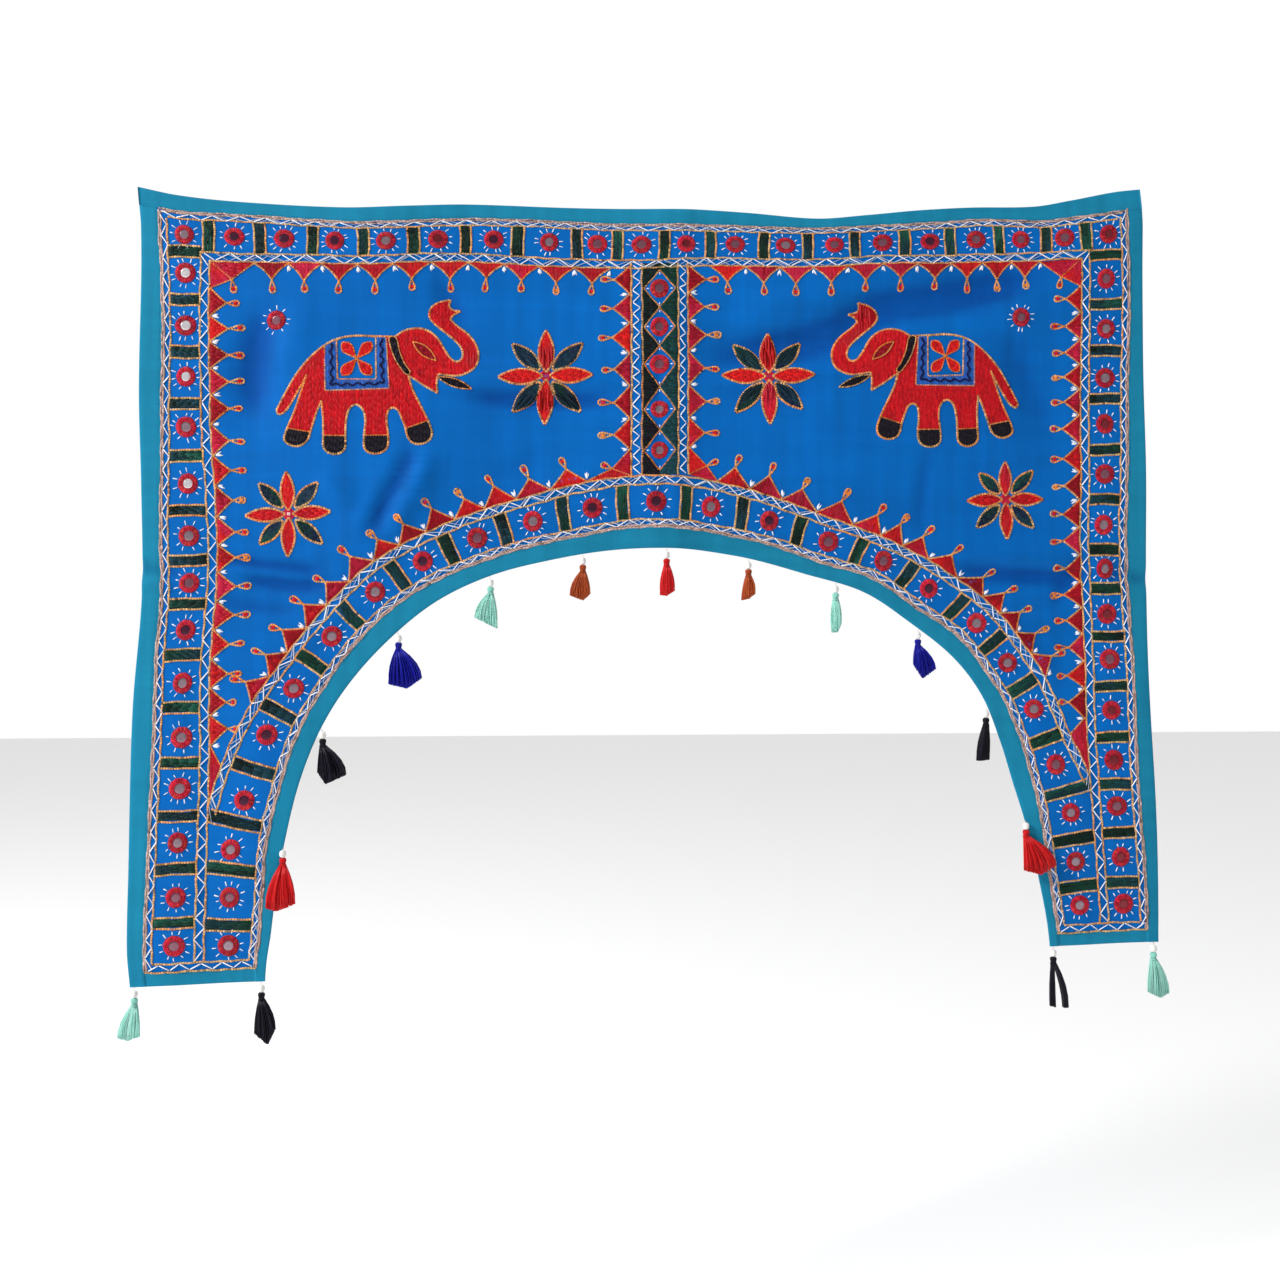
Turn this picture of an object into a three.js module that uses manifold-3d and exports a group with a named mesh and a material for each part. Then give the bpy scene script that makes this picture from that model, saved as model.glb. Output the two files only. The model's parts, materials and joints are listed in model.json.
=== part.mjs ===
// Embroidered door hanging: a blue cotton panel with a deep arch cut out of it, folded teal strips
// along every edge, mirrors sewn on the front and fifteen tassels under the lower edge.
// Millimetres, +Z up, the embroidered front faces -Y. The origin is the middle of the top edge.
// Every shape is laid out on the flat pattern, across (u) and down (v), and then hung.

import * as THREE from 'three';
import { mergeVertices } from 'three/addons/utils/BufferGeometryUtils.js';
import Module from 'manifold-3d';

const wasm = await Module();
wasm.setup();

// Flat pattern
const WIDTH = 1400;
const HEIGHT = 1080;
const HALF = WIDTH / 2;
const STRIP_WIDTH = 24.5;
const HEM_WIDTH = 17;
const SEAM_GAP = 0.3;
const PANEL_THICK = 1.6;
const STRIP_THICK = 2.4;

// Arch: a rounded opening between the legs, centred a little to the right
const ARCH_CENTRE = 10;
const ARCH_HALF_WIDTH = 534;
const ARCH_HEIGHT = 580;
const ARCH_POWER = 2.3;
const ARCH_SAMPLES = 720;

// How far the cut of the arch strays outwards, by the turn from the left foot to the right one
const archWander = [
  { turn: 0, out: 0 },
  { turn: 5, out: -9 },
  { turn: 16, out: -8 },
  { turn: 25, out: -2 },
  { turn: 35, out: 5 },
  { turn: 50, out: 10 },
  { turn: 58, out: 12 },
  { turn: 67, out: 8 },
  { turn: 76, out: 2 },
  { turn: 90, out: 0 },
  { turn: 98, out: -7 },
  { turn: 109, out: -13 },
  { turn: 119, out: -5 },
  { turn: 128, out: -5 },
  { turn: 138, out: 2 },
  { turn: 145, out: 1 },
  { turn: 152, out: -8 },
  { turn: 160, out: -15 },
  { turn: 172, out: -10 },
  { turn: 180, out: 1 },
];

// The top edge as it is held: high at the corners, sagging twice in between
const topEdge = [
  { u: -700, rise: 11 },
  { u: -650, rise: 2 },
  { u: -560, rise: -5 },
  { u: -430, rise: -9 },
  { u: -340, rise: -4 },
  { u: -260, rise: 0 },
  { u: -120, rise: -1 },
  { u: 0, rise: 0 },
  { u: 60, rise: 1 },
  { u: 130, rise: -2 },
  { u: 228, rise: -8 },
  { u: 300, rise: -1 },
  { u: 375, rise: 8 },
  { u: 450, rise: 14 },
  { u: 545, rise: 18 },
  { u: 600, rise: 28 },
  { u: 660, rise: 40 },
  { u: 700, rise: 45 },
];

// Below the top edge the cloth hangs on a slant, higher at the right, with the sag fading out
const MIDDLE_LIFT = 26;
const SIDE_LIFT = 18;
const SAG_FADE = 95;

// Sideways lean of the left and right edges, which spreads the legs
const legSplay = [
  { v: -1080, left: -15, right: 26 },
  { v: -1030, left: -18.5, right: 25 },
  { v: -920, left: -16, right: 21 },
  { v: -705, left: -12, right: 12 },
  { v: -545, left: 0, right: 9 },
  { v: -400, left: -1, right: 9 },
  { v: -270, left: -4, right: 5 },
  { v: -55, left: 0, right: 2 },
  { v: 0, left: -4, right: -3 },
];

// Wide swells of the cloth, forwards where rise is positive
const swells = [
  { u: -400, v: -330, wide: 190, tall: 200, rise: 9 },
  { u: 350, v: -310, wide: 200, tall: 190, rise: 8 },
  { u: 10, v: -450, wide: 170, tall: 90, rise: 7 },
  { u: -610, v: -930, wide: 130, tall: 190, rise: 11 },
  { u: 630, v: -900, wide: 120, tall: 180, rise: 13 },
  { u: -430, v: -70, wide: 140, tall: 80, rise: 6 },
  { u: 220, v: -70, wide: 130, tall: 80, rise: 6 },
  { u: -555, v: -250, wide: 55, tall: 130, rise: -5 },
  { u: 550, v: -280, wide: 55, tall: 140, rise: -5 },
];

// Folds and creases: soft ridges forwards, or troughs where rise is negative
const folds = [
  { u0: 16, v0: -30, u1: 12, v1: -490, width: 42, rise: 5 },
  { u0: -250, v0: -262, u1: -60, v1: -270, width: 38, rise: 3 },
  { u0: 90, v0: -270, u1: 300, v1: -262, width: 38, rise: 3 },
  { u0: -690, v0: -20, u1: -500, v1: -190, width: 55, rise: 6 },
  { u0: 690, v0: -20, u1: 520, v1: -170, width: 55, rise: 6 },
  { u0: -330, v0: -390, u1: -400, v1: -480, width: 40, rise: 5 },
  { u0: -590, v0: -500, u1: -440, v1: -535, width: 38, rise: -4 },
  { u0: 410, v0: -525, u1: 610, v1: -545, width: 38, rise: 4 },
  { u0: -600, v0: -700, u1: -580, v1: -1060, width: 45, rise: -4 },
  { u0: 600, v0: -640, u1: 640, v1: -1060, width: 45, rise: -4 },
];

// Panel: where its outer edge lies against the arch, and the steps up to each row
const TOP_LINE = -(STRIP_WIDTH + SEAM_GAP);
const SIDE_LINE = HALF - STRIP_WIDTH - SEAM_GAP;
const FOOT_LINE = -(HEIGHT - HEM_WIDTH - SEAM_GAP);
const FOOT_SHARE = 0.0096;
const ACROSS_STEPS = 12;
const panelFan = [
  { u: -SIDE_LINE, v: FOOT_LINE, share: FOOT_SHARE, steps: 0 },
  { u: -SIDE_LINE, v: -700, share: 0.22, steps: 12 },
  { u: -SIDE_LINE, v: TOP_LINE, share: 0.36, steps: 12 },
  { u: SIDE_LINE, v: TOP_LINE, share: 0.64, steps: 28 },
  { u: SIDE_LINE, v: -700, share: 0.78, steps: 12 },
  { u: SIDE_LINE, v: FOOT_LINE, share: 1 - FOOT_SHARE, steps: 12 },
];

// Mirrors with their stitched rings: a row under the top strip and one alone in each half
const MIRROR_SIDES = 12;
const MIRROR_ROW_DOWN = -58;
const MIRROR_ROW_START = -642;
const MIRROR_ROW_PITCH = 67.9;
const MIRROR_ROW_COUNT = 20;
const mirrorProfile = [
  { radius: 10, height: 2.1 },
  { radius: 14.5, height: 0.6 },
  { radius: 14.5, height: 0 },
];
const MIRROR_MIDDLE_HEIGHT = 1.4;
const MIRROR_SEAT_GAP = 0.6;
const mirrorShift = [
  { step: 0, by: 0 },
  { step: 2, by: -3 },
  { step: 5, by: 1 },
  { step: 7, by: 18 },
  { step: 8, by: 17 },
  { step: 10, by: 5 },
  { step: 12, by: 9 },
  { step: 16, by: 12 },
  { step: 19, by: 0 },
];
const loneMirrors = [
  { name: 'mirror_lone_1', u: -518, v: -176 },
  { name: 'mirror_lone_2', u: 519, v: -178 },
];

// Beads and tassels. One hangs from the foot of a leg at u, or from the arch at a share of its length.
// shift moves the skirt's lower end sideways, ahead hangs it in front of the cloth.
const tassels = [
  { yarn: 'mint', u: -694, shift: -11, length: 44, spread: 27 },
  { yarn: 'black', u: -529, shift: 3, length: 62, spread: 29 },
  { yarn: 'red', share: 0.102, shift: 1, length: 60, spread: 42, ahead: true },
  { yarn: 'black', share: 0.1955, shift: 14, length: 50, spread: 37 },
  { yarn: 'royal', share: 0.2866, shift: 5, length: 51, spread: 43 },
  { yarn: 'mint', share: 0.3679, shift: -9, length: 40, spread: 29 },
  { yarn: 'rust', share: 0.4409, shift: -5, length: 37, spread: 29 },
  { yarn: 'red', share: 0.506, shift: -1, length: 41, spread: 21 },
  { yarn: 'rust', share: 0.5709, shift: -1, length: 30, spread: 21 },
  { yarn: 'mint', share: 0.6423, shift: 1, length: 43, spread: 16 },
  { yarn: 'royal', share: 0.7187, shift: 5, length: 45, spread: 33 },
  { yarn: 'black', share: 0.8036, shift: -4, length: 50, spread: 20 },
  { yarn: 'red', share: 0.897, shift: 19, length: 50, spread: 38, ahead: true },
  { yarn: 'black', u: 550, shift: 9, length: 64, spread: 27 },
  { yarn: 'mint', u: 693, shift: 8, length: 55, spread: 32 },
];
const STRANDS = 14;
const STRAND_FILL = 0.36;
const ROOT_RADIUS = 0.55;
const MIDDLE_SHARE = 0.4;
const MIDDLE_FLARE = 0.72;
const FLATTEN = 0.38;
const GOLDEN_TURN = 2.39996;
const ROUND_SIDES = 8;
const THREAD_RADIUS = 0.6;
const THREAD_OUT = 2.2;
const THREAD_DROP = 2.4;
const beadProfile = [
  { radius: 2.4, down: 0 },
  { radius: 4.2, down: 3 },
  { radius: 4.1, down: 7 },
  { radius: 2.4, down: 10 },
];
const headProfile = [
  { radius: 2.6, down: 0 },
  { radius: 4.3, down: 2 },
  { radius: 3.8, down: 8 },
  { radius: 4.9, down: 10.5 },
];
const BEAD_DROP = beadProfile.at(-1).down;
const HEAD_DROP = headProfile.at(-1).down;

// Colours of the real materials
const finishes = {
  ground: { color: 0x0767b9, roughness: 0.86 },
  strip: { color: 0x1f86a6, roughness: 0.84 },
  ring: { color: 0xd0304a, roughness: 0.6 },
  bead: { color: 0xf1efe8, roughness: 0.35 },
  mint: { color: 0x8fd3c3, roughness: 0.55 },
  black: { color: 0x14121c, roughness: 0.5 },
  red: { color: 0xd01f25, roughness: 0.55 },
  royal: { color: 0x14149a, roughness: 0.5 },
  rust: { color: 0xa84a22, roughness: 0.55 },
};
const materials = {};
for (const [name, look] of Object.entries(finishes)) {
  materials[name] = new THREE.MeshStandardMaterial({ ...look, metalness: 0 });
}

// Smooth curve through a table's rows, which are in rising order of the key column
function curveThrough(rows, key, column, at) {
  const last = rows.length - 1;
  if (at <= rows[0][key]) return rows[0][column];
  if (at >= rows[last][key]) return rows[last][column];
  const i = rows.findIndex((row) => at <= row[key]) - 1;
  const [start, end] = [rows[i], rows[i + 1]];
  const before = rows[Math.max(i - 1, 0)];
  const after = rows[Math.min(i + 2, last)];
  const span = end[key] - start[key];
  const t = (at - start[key]) / span;
  const slopeIn = (end[column] - before[column]) / (end[key] - before[key]);
  const slopeOut = (after[column] - start[column]) / (after[key] - start[key]);
  const t2 = t * t;
  const t3 = t2 * t;
  const value = (2 * t3 - 3 * t2 + 1) * start[column] + (t3 - 2 * t2 + t) * span * slopeIn;
  return value + (3 * t2 - 2 * t3) * end[column] + (t3 - t2) * span * slopeOut;
}

// Point on the flat arch by its turn, moved away from the opening by the distance given
function archAtTurn(turn, distance) {
  const angle = THREE.MathUtils.degToRad(turn);
  const across = -Math.sign(Math.cos(angle));
  const c = Math.abs(Math.cos(angle));
  const s = Math.abs(Math.sin(angle));
  const normal = new THREE.Vector2(
    across * c ** (2 - 2 / ARCH_POWER) / ARCH_HALF_WIDTH,
    s ** (2 - 2 / ARCH_POWER) / ARCH_HEIGHT,
  ).normalize();
  const reach = curveThrough(archWander, 'turn', 'out', turn) + distance;
  return {
    u: ARCH_CENTRE + across * ARCH_HALF_WIDTH * c ** (2 / ARCH_POWER) + normal.x * reach,
    v: -HEIGHT + ARCH_HEIGHT * s ** (2 / ARCH_POWER) + normal.y * reach,
    normal,
  };
}

// Running length of the arch, so that a share of it can be found
const archLengths = [{ turn: 0, length: 0 }];
for (let i = 1; i <= ARCH_SAMPLES; i++) {
  const turn = (180 * i) / ARCH_SAMPLES;
  const last = archLengths.at(-1);
  const from = archAtTurn(last.turn, 0);
  const to = archAtTurn(turn, 0);
  archLengths.push({ turn, length: last.length + Math.hypot(to.u - from.u, to.v - from.v) });
}

// Point on the flat arch by its share of the whole length
function archAt(share, distance) {
  const length = share * archLengths.at(-1).length;
  const i = Math.max(archLengths.findIndex((row) => row.length >= length), 1);
  const [low, high] = [archLengths[i - 1], archLengths[i]];
  const part = (length - low.length) / (high.length - low.length);
  return archAtTurn(THREE.MathUtils.lerp(low.turn, high.turn, part), distance);
}

// Height of the cloth in front of the wall plane at a point of the flat pattern
function relief(u, v) {
  let height = 0;
  for (const swell of swells) {
    height += swell.rise * Math.exp(-(((u - swell.u) / swell.wide) ** 2) - ((v - swell.v) / swell.tall) ** 2);
  }
  for (const fold of folds) {
    const runU = fold.u1 - fold.u0;
    const runV = fold.v1 - fold.v0;
    const along = ((u - fold.u0) * runU + (v - fold.v0) * runV) / (runU ** 2 + runV ** 2);
    const t = THREE.MathUtils.clamp(along, 0, 1);
    const away = Math.hypot(u - fold.u0 - t * runU, v - fold.v0 - t * runV) / fold.width;
    height += fold.rise * Math.exp(-(away ** 2));
  }
  return height;
}

// Flat pattern to the hung shape; lift is the distance in front of the middle of the cloth
function hang(u, v, lift = 0) {
  const level = MIDDLE_LIFT + (SIDE_LIFT * u) / HALF;
  const held = curveThrough(topEdge, 'u', 'rise', u);
  const splay = curveThrough(legSplay, 'v', u < 0 ? 'left' : 'right', v);
  return new THREE.Vector3(
    u + (splay * Math.abs(u)) / HALF,
    -relief(u, v) - lift,
    v + level + (held - level) * Math.exp(v / SAG_FADE),
  );
}

// Closed geometry from points and faces, turned so that its faces point outwards
function closedGeometry(points, faces) {
  const volume = faces.reduce((sum, [a, b, c]) => {
    const normal = new THREE.Vector3().crossVectors(points[b], points[c]);
    return sum + points[a].dot(normal);
  }, 0);
  const turned = volume < 0 ? faces.map(([a, b, c]) => [a, c, b]) : faces;
  const geometry = new THREE.BufferGeometry().setFromPoints(points);
  geometry.setIndex(turned.flat());
  geometry.computeVertexNormals();
  return geometry;
}

// One piece of cloth: stations along it, each a row of flat points from side to side
function clothGeometry(stations, thick) {
  const across = stations[0].length;
  const points = [];
  for (const side of [thick / 2, -thick / 2]) {
    for (const station of stations) {
      for (const { u, v } of station) points.push(hang(u, v, side));
    }
  }
  const back = stations.length * across;
  const faces = [];
  const quad = (a, b, c, d) => faces.push([a, b, c], [a, c, d]);
  for (let i = 0; i + 1 < stations.length; i++) {
    for (let j = 0; j + 1 < across; j++) {
      const a = i * across + j;
      quad(a, a + 1, a + across + 1, a + across);
      quad(back + a, back + a + across, back + a + across + 1, back + a + 1);
    }
    for (const [a, b] of [[i * across, (i + 1) * across], [(i + 2) * across - 1, (i + 1) * across - 1]]) {
      quad(a, b, back + b, back + a);
    }
  }
  for (let j = 0; j + 1 < across; j++) {
    const end = (stations.length - 1) * across + j;
    quad(j + 1, j, back + j, back + j + 1);
    quad(end, end + 1, back + end + 1, back + end);
  }
  return closedGeometry(points, faces);
}

// Stations of the panel, from the foot of the left leg over the arch to the foot of the right one
const fanStations = panelFan.flatMap((to, i) => {
  const from = panelFan[Math.max(i - 1, 0)];
  const count = Math.max(to.steps, 1);
  return Array.from({ length: count }, (_, k) => {
    const t = (k + 1) / count;
    return {
      u: THREE.MathUtils.lerp(from.u, to.u, t),
      v: THREE.MathUtils.lerp(from.v, to.v, t),
      share: THREE.MathUtils.lerp(from.share, to.share, t),
    };
  });
});

// Shares of the arch's length at which its strip has stations
const archShares = [0, ...fanStations.map((station) => station.share), 1];

function panelGeometry() {
  const stations = fanStations.map((outer) => {
    const inner = archAt(outer.share, STRIP_WIDTH + SEAM_GAP);
    inner.v = Math.max(inner.v, FOOT_LINE);
    return Array.from({ length: ACROSS_STEPS + 1 }, (_, j) => ({
      u: THREE.MathUtils.lerp(inner.u, outer.u, j / ACROSS_STEPS),
      v: THREE.MathUtils.lerp(inner.v, outer.v, j / ACROSS_STEPS),
    }));
  });
  return clothGeometry(stations, PANEL_THICK);
}

// Strips share the panel's stations, so their edges run side by side
const meets = (value, line) => Math.abs(value - line) < SEAM_GAP / 2;

function topStripGeometry() {
  const inside = fanStations.filter((station) => meets(station.v, TOP_LINE)).map((station) => station.u);
  const stations = [-HALF, ...inside, HALF].map((u) => [{ u, v: 0 }, { u, v: -STRIP_WIDTH }]);
  return clothGeometry(stations, STRIP_THICK);
}

function sideStripGeometry(side) {
  const beside = fanStations.filter((station) => meets(station.u, side * SIDE_LINE));
  const upwards = [-HEIGHT, ...beside.map((station) => station.v).sort((a, b) => a - b)];
  const stations = upwards.map((v) => [{ u: side * HALF, v }, { u: side * (HALF - STRIP_WIDTH), v }]);
  return clothGeometry(stations, STRIP_THICK);
}

function archStripGeometry() {
  const stations = archShares.map((share) => [archAt(share, 0), archAt(share, STRIP_WIDTH)]);
  return clothGeometry(stations, STRIP_THICK);
}

function legHemGeometry(side) {
  const footShares = side < 0 ? [0, FOOT_SHARE] : [1, 1 - FOOT_SHARE];
  const upper = -(HEIGHT - HEM_WIDTH);
  const inner = footShares.map((share) => archAt(share, STRIP_WIDTH + SEAM_GAP).u);
  const stations = [0, 0.5, 1].map((t) => [
    { u: THREE.MathUtils.lerp(side * SIDE_LINE, inner[0], t), v: -HEIGHT },
    { u: THREE.MathUtils.lerp(side * SIDE_LINE, inner[1], t), v: upper },
  ]);
  return clothGeometry(stations, STRIP_THICK);
}

// Front of the faceted panel at a point of the hung shape, found with a ray from the front
const panel = new THREE.Mesh(panelGeometry(), materials.ground);
panel.name = 'panel';
panel.material.side = THREE.DoubleSide;
const ray = new THREE.Raycaster();
const RAY_START = -200;
function panelFront(x, z) {
  ray.set(new THREE.Vector3(x, RAY_START, z), new THREE.Vector3(0, 1, 0));
  return ray.intersectObject(panel)[0].point.y;
}

// Mirror and ring: a low round button that follows the cloth
function mirrorGeometry(u, v) {
  const middle = hang(u, v);
  const seat = (x, z, height) => new THREE.Vector3(x, panelFront(x, z) - MIRROR_SEAT_GAP - height, z);
  const points = [seat(middle.x, middle.z, MIRROR_MIDDLE_HEIGHT)];
  for (const { radius, height } of mirrorProfile) {
    for (let k = 0; k < MIRROR_SIDES; k++) {
      const angle = (2 * Math.PI * k) / MIRROR_SIDES;
      points.push(seat(middle.x + radius * Math.cos(angle), middle.z + radius * Math.sin(angle), height));
    }
  }
  const base = points.push(seat(middle.x, middle.z, 0)) - 1;
  const faces = [];
  for (let k = 0; k < MIRROR_SIDES; k++) {
    const next = (k + 1) % MIRROR_SIDES;
    faces.push([0, 1 + k, 1 + next]);
    for (let ring = 0; ring + 1 < mirrorProfile.length; ring++) {
      const low = 1 + ring * MIRROR_SIDES;
      const high = low + MIRROR_SIDES;
      faces.push([low + k, high + k, high + next], [low + k, high + next, low + next]);
    }
    const rim = 1 + (mirrorProfile.length - 1) * MIRROR_SIDES;
    faces.push([base, rim + next, rim + k]);
  }
  return closedGeometry(points, faces);
}

// Solids for joining pieces that are fused
function toSolid(geometry) {
  const bare = geometry.clone();
  bare.deleteAttribute('normal');
  bare.deleteAttribute('uv');
  const merged = mergeVertices(bare);
  const vertProperties = new Float32Array(merged.attributes.position.array);
  const triVerts = new Uint32Array(merged.index.array);
  return new wasm.Manifold(new wasm.Mesh({ numProp: 3, vertProperties, triVerts }));
}

function toGeometry(solid) {
  const mesh = solid.getMesh();
  const geometry = new THREE.BufferGeometry();
  geometry.setAttribute('position', new THREE.BufferAttribute(mesh.vertProperties, 3));
  geometry.setIndex(new THREE.BufferAttribute(mesh.triVerts, 1));
  geometry.computeVertexNormals();
  return geometry;
}

// Round body hanging down from a point, by its profile
function turnedGeometry(profile, top) {
  const outline = profile.map(({ radius, down }) => new THREE.Vector2(radius, -down));
  const closed = [new THREE.Vector2(0, -profile.at(-1).down), ...outline.reverse(), new THREE.Vector2(0, 0)];
  return new THREE.LatheGeometry(closed, ROUND_SIDES).rotateX(Math.PI / 2).translate(top.x, top.y, top.z);
}

// Straight-sided lock through centres with a radius each
function lockGeometry(stops, sides, turn) {
  const points = [];
  for (const { centre, radius } of stops) {
    for (let k = 0; k < sides; k++) {
      const angle = turn + (2 * Math.PI * k) / sides;
      points.push(new THREE.Vector3(radius * Math.cos(angle), radius * Math.sin(angle), 0).add(centre));
    }
  }
  const faces = [];
  for (let i = 0; i + 1 < stops.length; i++) {
    for (let k = 0; k < sides; k++) {
      const [a, b] = [i * sides + k, i * sides + ((k + 1) % sides)];
      faces.push([a, b, b + sides], [a, b + sides, a + sides]);
    }
  }
  const end = (stops.length - 1) * sides;
  for (let k = 1; k + 1 < sides; k++) faces.push([0, k + 1, k], [end, end + k, end + k + 1]);
  return closedGeometry(points, faces);
}

// Point on the lower edge of the arch strip, between its stations, and the way out into the opening
function hemOnArch(share) {
  const i = archShares.findIndex((stationShare) => stationShare >= share);
  const [from, to] = [archShares[i - 1], archShares[i]].map((stationShare) => {
    const flat = archAt(stationShare, 0);
    return hang(flat.u, flat.v);
  });
  const part = (share - archShares[i - 1]) / (archShares[i] - archShares[i - 1]);
  const out = new THREE.Vector3(to.z - from.z, 0, from.x - to.x).normalize();
  return { point: from.lerp(to, part), out };
}

// Where a bead's thread leaves the hem, and the top of the bead below it
function hangerPlace(row) {
  const down = new THREE.Vector3(0, 0, -1);
  const hem = row.u === undefined ? hemOnArch(row.share) : { point: hang(row.u, -HEIGHT), out: down };
  const widest = beadProfile[1];
  if (row.ahead) {
    const skin = STRIP_THICK / 2 + SEAM_GAP;
    const start = hem.point.clone().setY(hem.point.y - skin - THREAD_RADIUS);
    const beadTop = hem.point.clone().setY(hem.point.y - skin - SEAM_GAP - widest.radius);
    beadTop.z -= THREAD_DROP;
    return { start, beadTop };
  }
  const start = hem.point.clone().addScaledVector(hem.out, SEAM_GAP + THREAD_RADIUS * Math.abs(hem.out.x));
  const lowered = (THREAD_DROP + widest.down) * Math.abs(hem.out.z);
  const reach = Math.max(THREAD_OUT, widest.radius + 2 * SEAM_GAP - lowered);
  const beadTop = hem.point.clone().addScaledVector(hem.out, reach);
  beadTop.z -= THREAD_DROP;
  return { start, beadTop };
}

function beadGeometry({ start, beadTop }) {
  const inside = beadTop.clone();
  inside.z -= beadProfile[1].down;
  const thread = lockGeometry(
    [
      { centre: inside, radius: THREAD_RADIUS },
      { centre: start, radius: THREAD_RADIUS },
    ],
    4,
    0,
  );
  return toGeometry(toSolid(turnedGeometry(beadProfile, beadTop)).add(toSolid(thread)));
}

// Tassel: a tied head with locks that stand apart below it
function tasselGeometry(row, { beadTop }) {
  const headTop = beadTop.clone();
  headTop.z -= BEAD_DROP + SEAM_GAP;
  let solid = toSolid(turnedGeometry(headProfile, headTop));
  const wide = row.spread / 2;
  const deep = Math.max(wide * FLATTEN, headProfile.at(-1).radius);
  const lockRadius = STRAND_FILL * Math.sqrt((Math.PI * wide * deep) / STRANDS);
  const ringRadius = headProfile.at(-1).radius - 2 * ROOT_RADIUS;
  const forward = row.ahead ? deep + lockRadius : Math.max(headTop.y + deep, 0);
  for (let k = 0; k < STRANDS; k++) {
    const angle = k * GOLDEN_TURN;
    const reach = Math.sqrt((k + 0.5) / STRANDS);
    const x = reach * Math.cos(angle);
    const y = reach * Math.sin(angle);
    const at = (across, depth, share) => new THREE.Vector3(
      headTop.x + x * across + row.shift * share ** 1.5,
      headTop.y + y * depth - forward * share,
      headTop.z - HEAD_DROP - row.length * share,
    );
    const root = at(ringRadius, ringRadius, 0);
    root.z += 2 * ROOT_RADIUS;
    const stops = [
      { centre: root, radius: ROOT_RADIUS },
      { centre: at(wide * MIDDLE_FLARE, deep * MIDDLE_FLARE, MIDDLE_SHARE), radius: lockRadius },
      { centre: at(wide - lockRadius, deep - lockRadius, 1), radius: lockRadius * MIDDLE_FLARE },
    ];
    solid = solid.add(toSolid(lockGeometry(stops, 3, angle)));
  }
  return toGeometry(solid);
}

// Assembly
const hanging = new THREE.Group();
function addPiece(name, geometry, material) {
  const mesh = new THREE.Mesh(geometry, material);
  mesh.name = name;
  hanging.add(mesh);
}

hanging.add(panel);
addPiece('border_top', topStripGeometry(), materials.strip);
addPiece('border_left', sideStripGeometry(-1), materials.strip);
addPiece('border_right', sideStripGeometry(1), materials.strip);
addPiece('border_arch', archStripGeometry(), materials.strip);
addPiece('hem_left_leg', legHemGeometry(-1), materials.strip);
addPiece('hem_right_leg', legHemGeometry(1), materials.strip);

for (let i = 0; i < MIRROR_ROW_COUNT; i++) {
  const u = MIRROR_ROW_START + i * MIRROR_ROW_PITCH + curveThrough(mirrorShift, 'step', 'by', i);
  const name = `mirror_top_${String(i + 1).padStart(2, '0')}`;
  addPiece(name, mirrorGeometry(u, MIRROR_ROW_DOWN), materials.ring);
}
for (const { name, u, v } of loneMirrors) addPiece(name, mirrorGeometry(u, v), materials.ring);

tassels.forEach((row, i) => {
  const number = String(i + 1).padStart(2, '0');
  const place = hangerPlace(row);
  addPiece(`bead_${number}`, beadGeometry(place), materials.bead);
  addPiece(`tassel_${number}`, tasselGeometry(row, place), materials[row.yarn]);
});

export default hanging;
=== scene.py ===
"""Looks of the embroidered door hanging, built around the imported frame.

Cloth and stitches are laid out on the flat pattern in millimetres, u across from the middle and
v up from the top edge (so v is negative on the cloth), and hang() puts them on the hung folds.
A lane runs along one edge of the cloth: a point in it is (a, d), the place along the edge and the
distance from it, both in millimetres.
"""
import json
import math

import bpy
import numpy as np
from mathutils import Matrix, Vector


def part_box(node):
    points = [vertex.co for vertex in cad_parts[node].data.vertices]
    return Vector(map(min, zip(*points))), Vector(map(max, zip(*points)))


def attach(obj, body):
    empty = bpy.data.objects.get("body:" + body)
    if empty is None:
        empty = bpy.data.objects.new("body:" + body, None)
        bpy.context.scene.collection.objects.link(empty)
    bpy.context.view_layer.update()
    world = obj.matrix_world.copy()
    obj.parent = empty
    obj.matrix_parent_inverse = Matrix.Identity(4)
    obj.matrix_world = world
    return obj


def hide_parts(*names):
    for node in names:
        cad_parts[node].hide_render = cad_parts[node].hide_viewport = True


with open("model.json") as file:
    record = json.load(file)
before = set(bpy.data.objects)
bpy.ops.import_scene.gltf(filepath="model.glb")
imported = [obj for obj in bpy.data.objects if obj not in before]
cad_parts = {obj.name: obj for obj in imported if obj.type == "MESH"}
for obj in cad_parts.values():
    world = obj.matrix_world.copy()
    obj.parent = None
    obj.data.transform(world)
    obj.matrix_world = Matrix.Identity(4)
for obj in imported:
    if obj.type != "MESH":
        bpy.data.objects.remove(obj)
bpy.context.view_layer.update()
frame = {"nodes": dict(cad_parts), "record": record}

MM = 0.001
rng = np.random.default_rng(11)

# Flat pattern, as in the solids
HALF = 700
HEIGHT = 1080
STRIP_WIDTH = 24.5
HEM_WIDTH = 17
SEAM_GAP = 0.3
PANEL_THICK = 1.6
STRIP_THICK = 2.4
FRONT = PANEL_THICK / 2

# Arch between the legs
ARCH_CENTRE = 10
ARCH_HALF_WIDTH = 534
ARCH_HEIGHT = 580
ARCH_POWER = 2.3
ARCH_SAMPLES = 720
# Columns: turn from the left foot, how far the cut strays outwards
ARCH_WANDER = [
    (0, 0), (5, -9), (16, -8), (25, -2), (35, 5), (50, 10), (58, 12), (67, 8), (76, 2), (90, 0),
    (98, -7), (109, -13), (119, -5), (128, -5), (138, 2), (145, 1), (152, -8), (160, -15), (172, -10),
    (180, 1),
]

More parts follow.
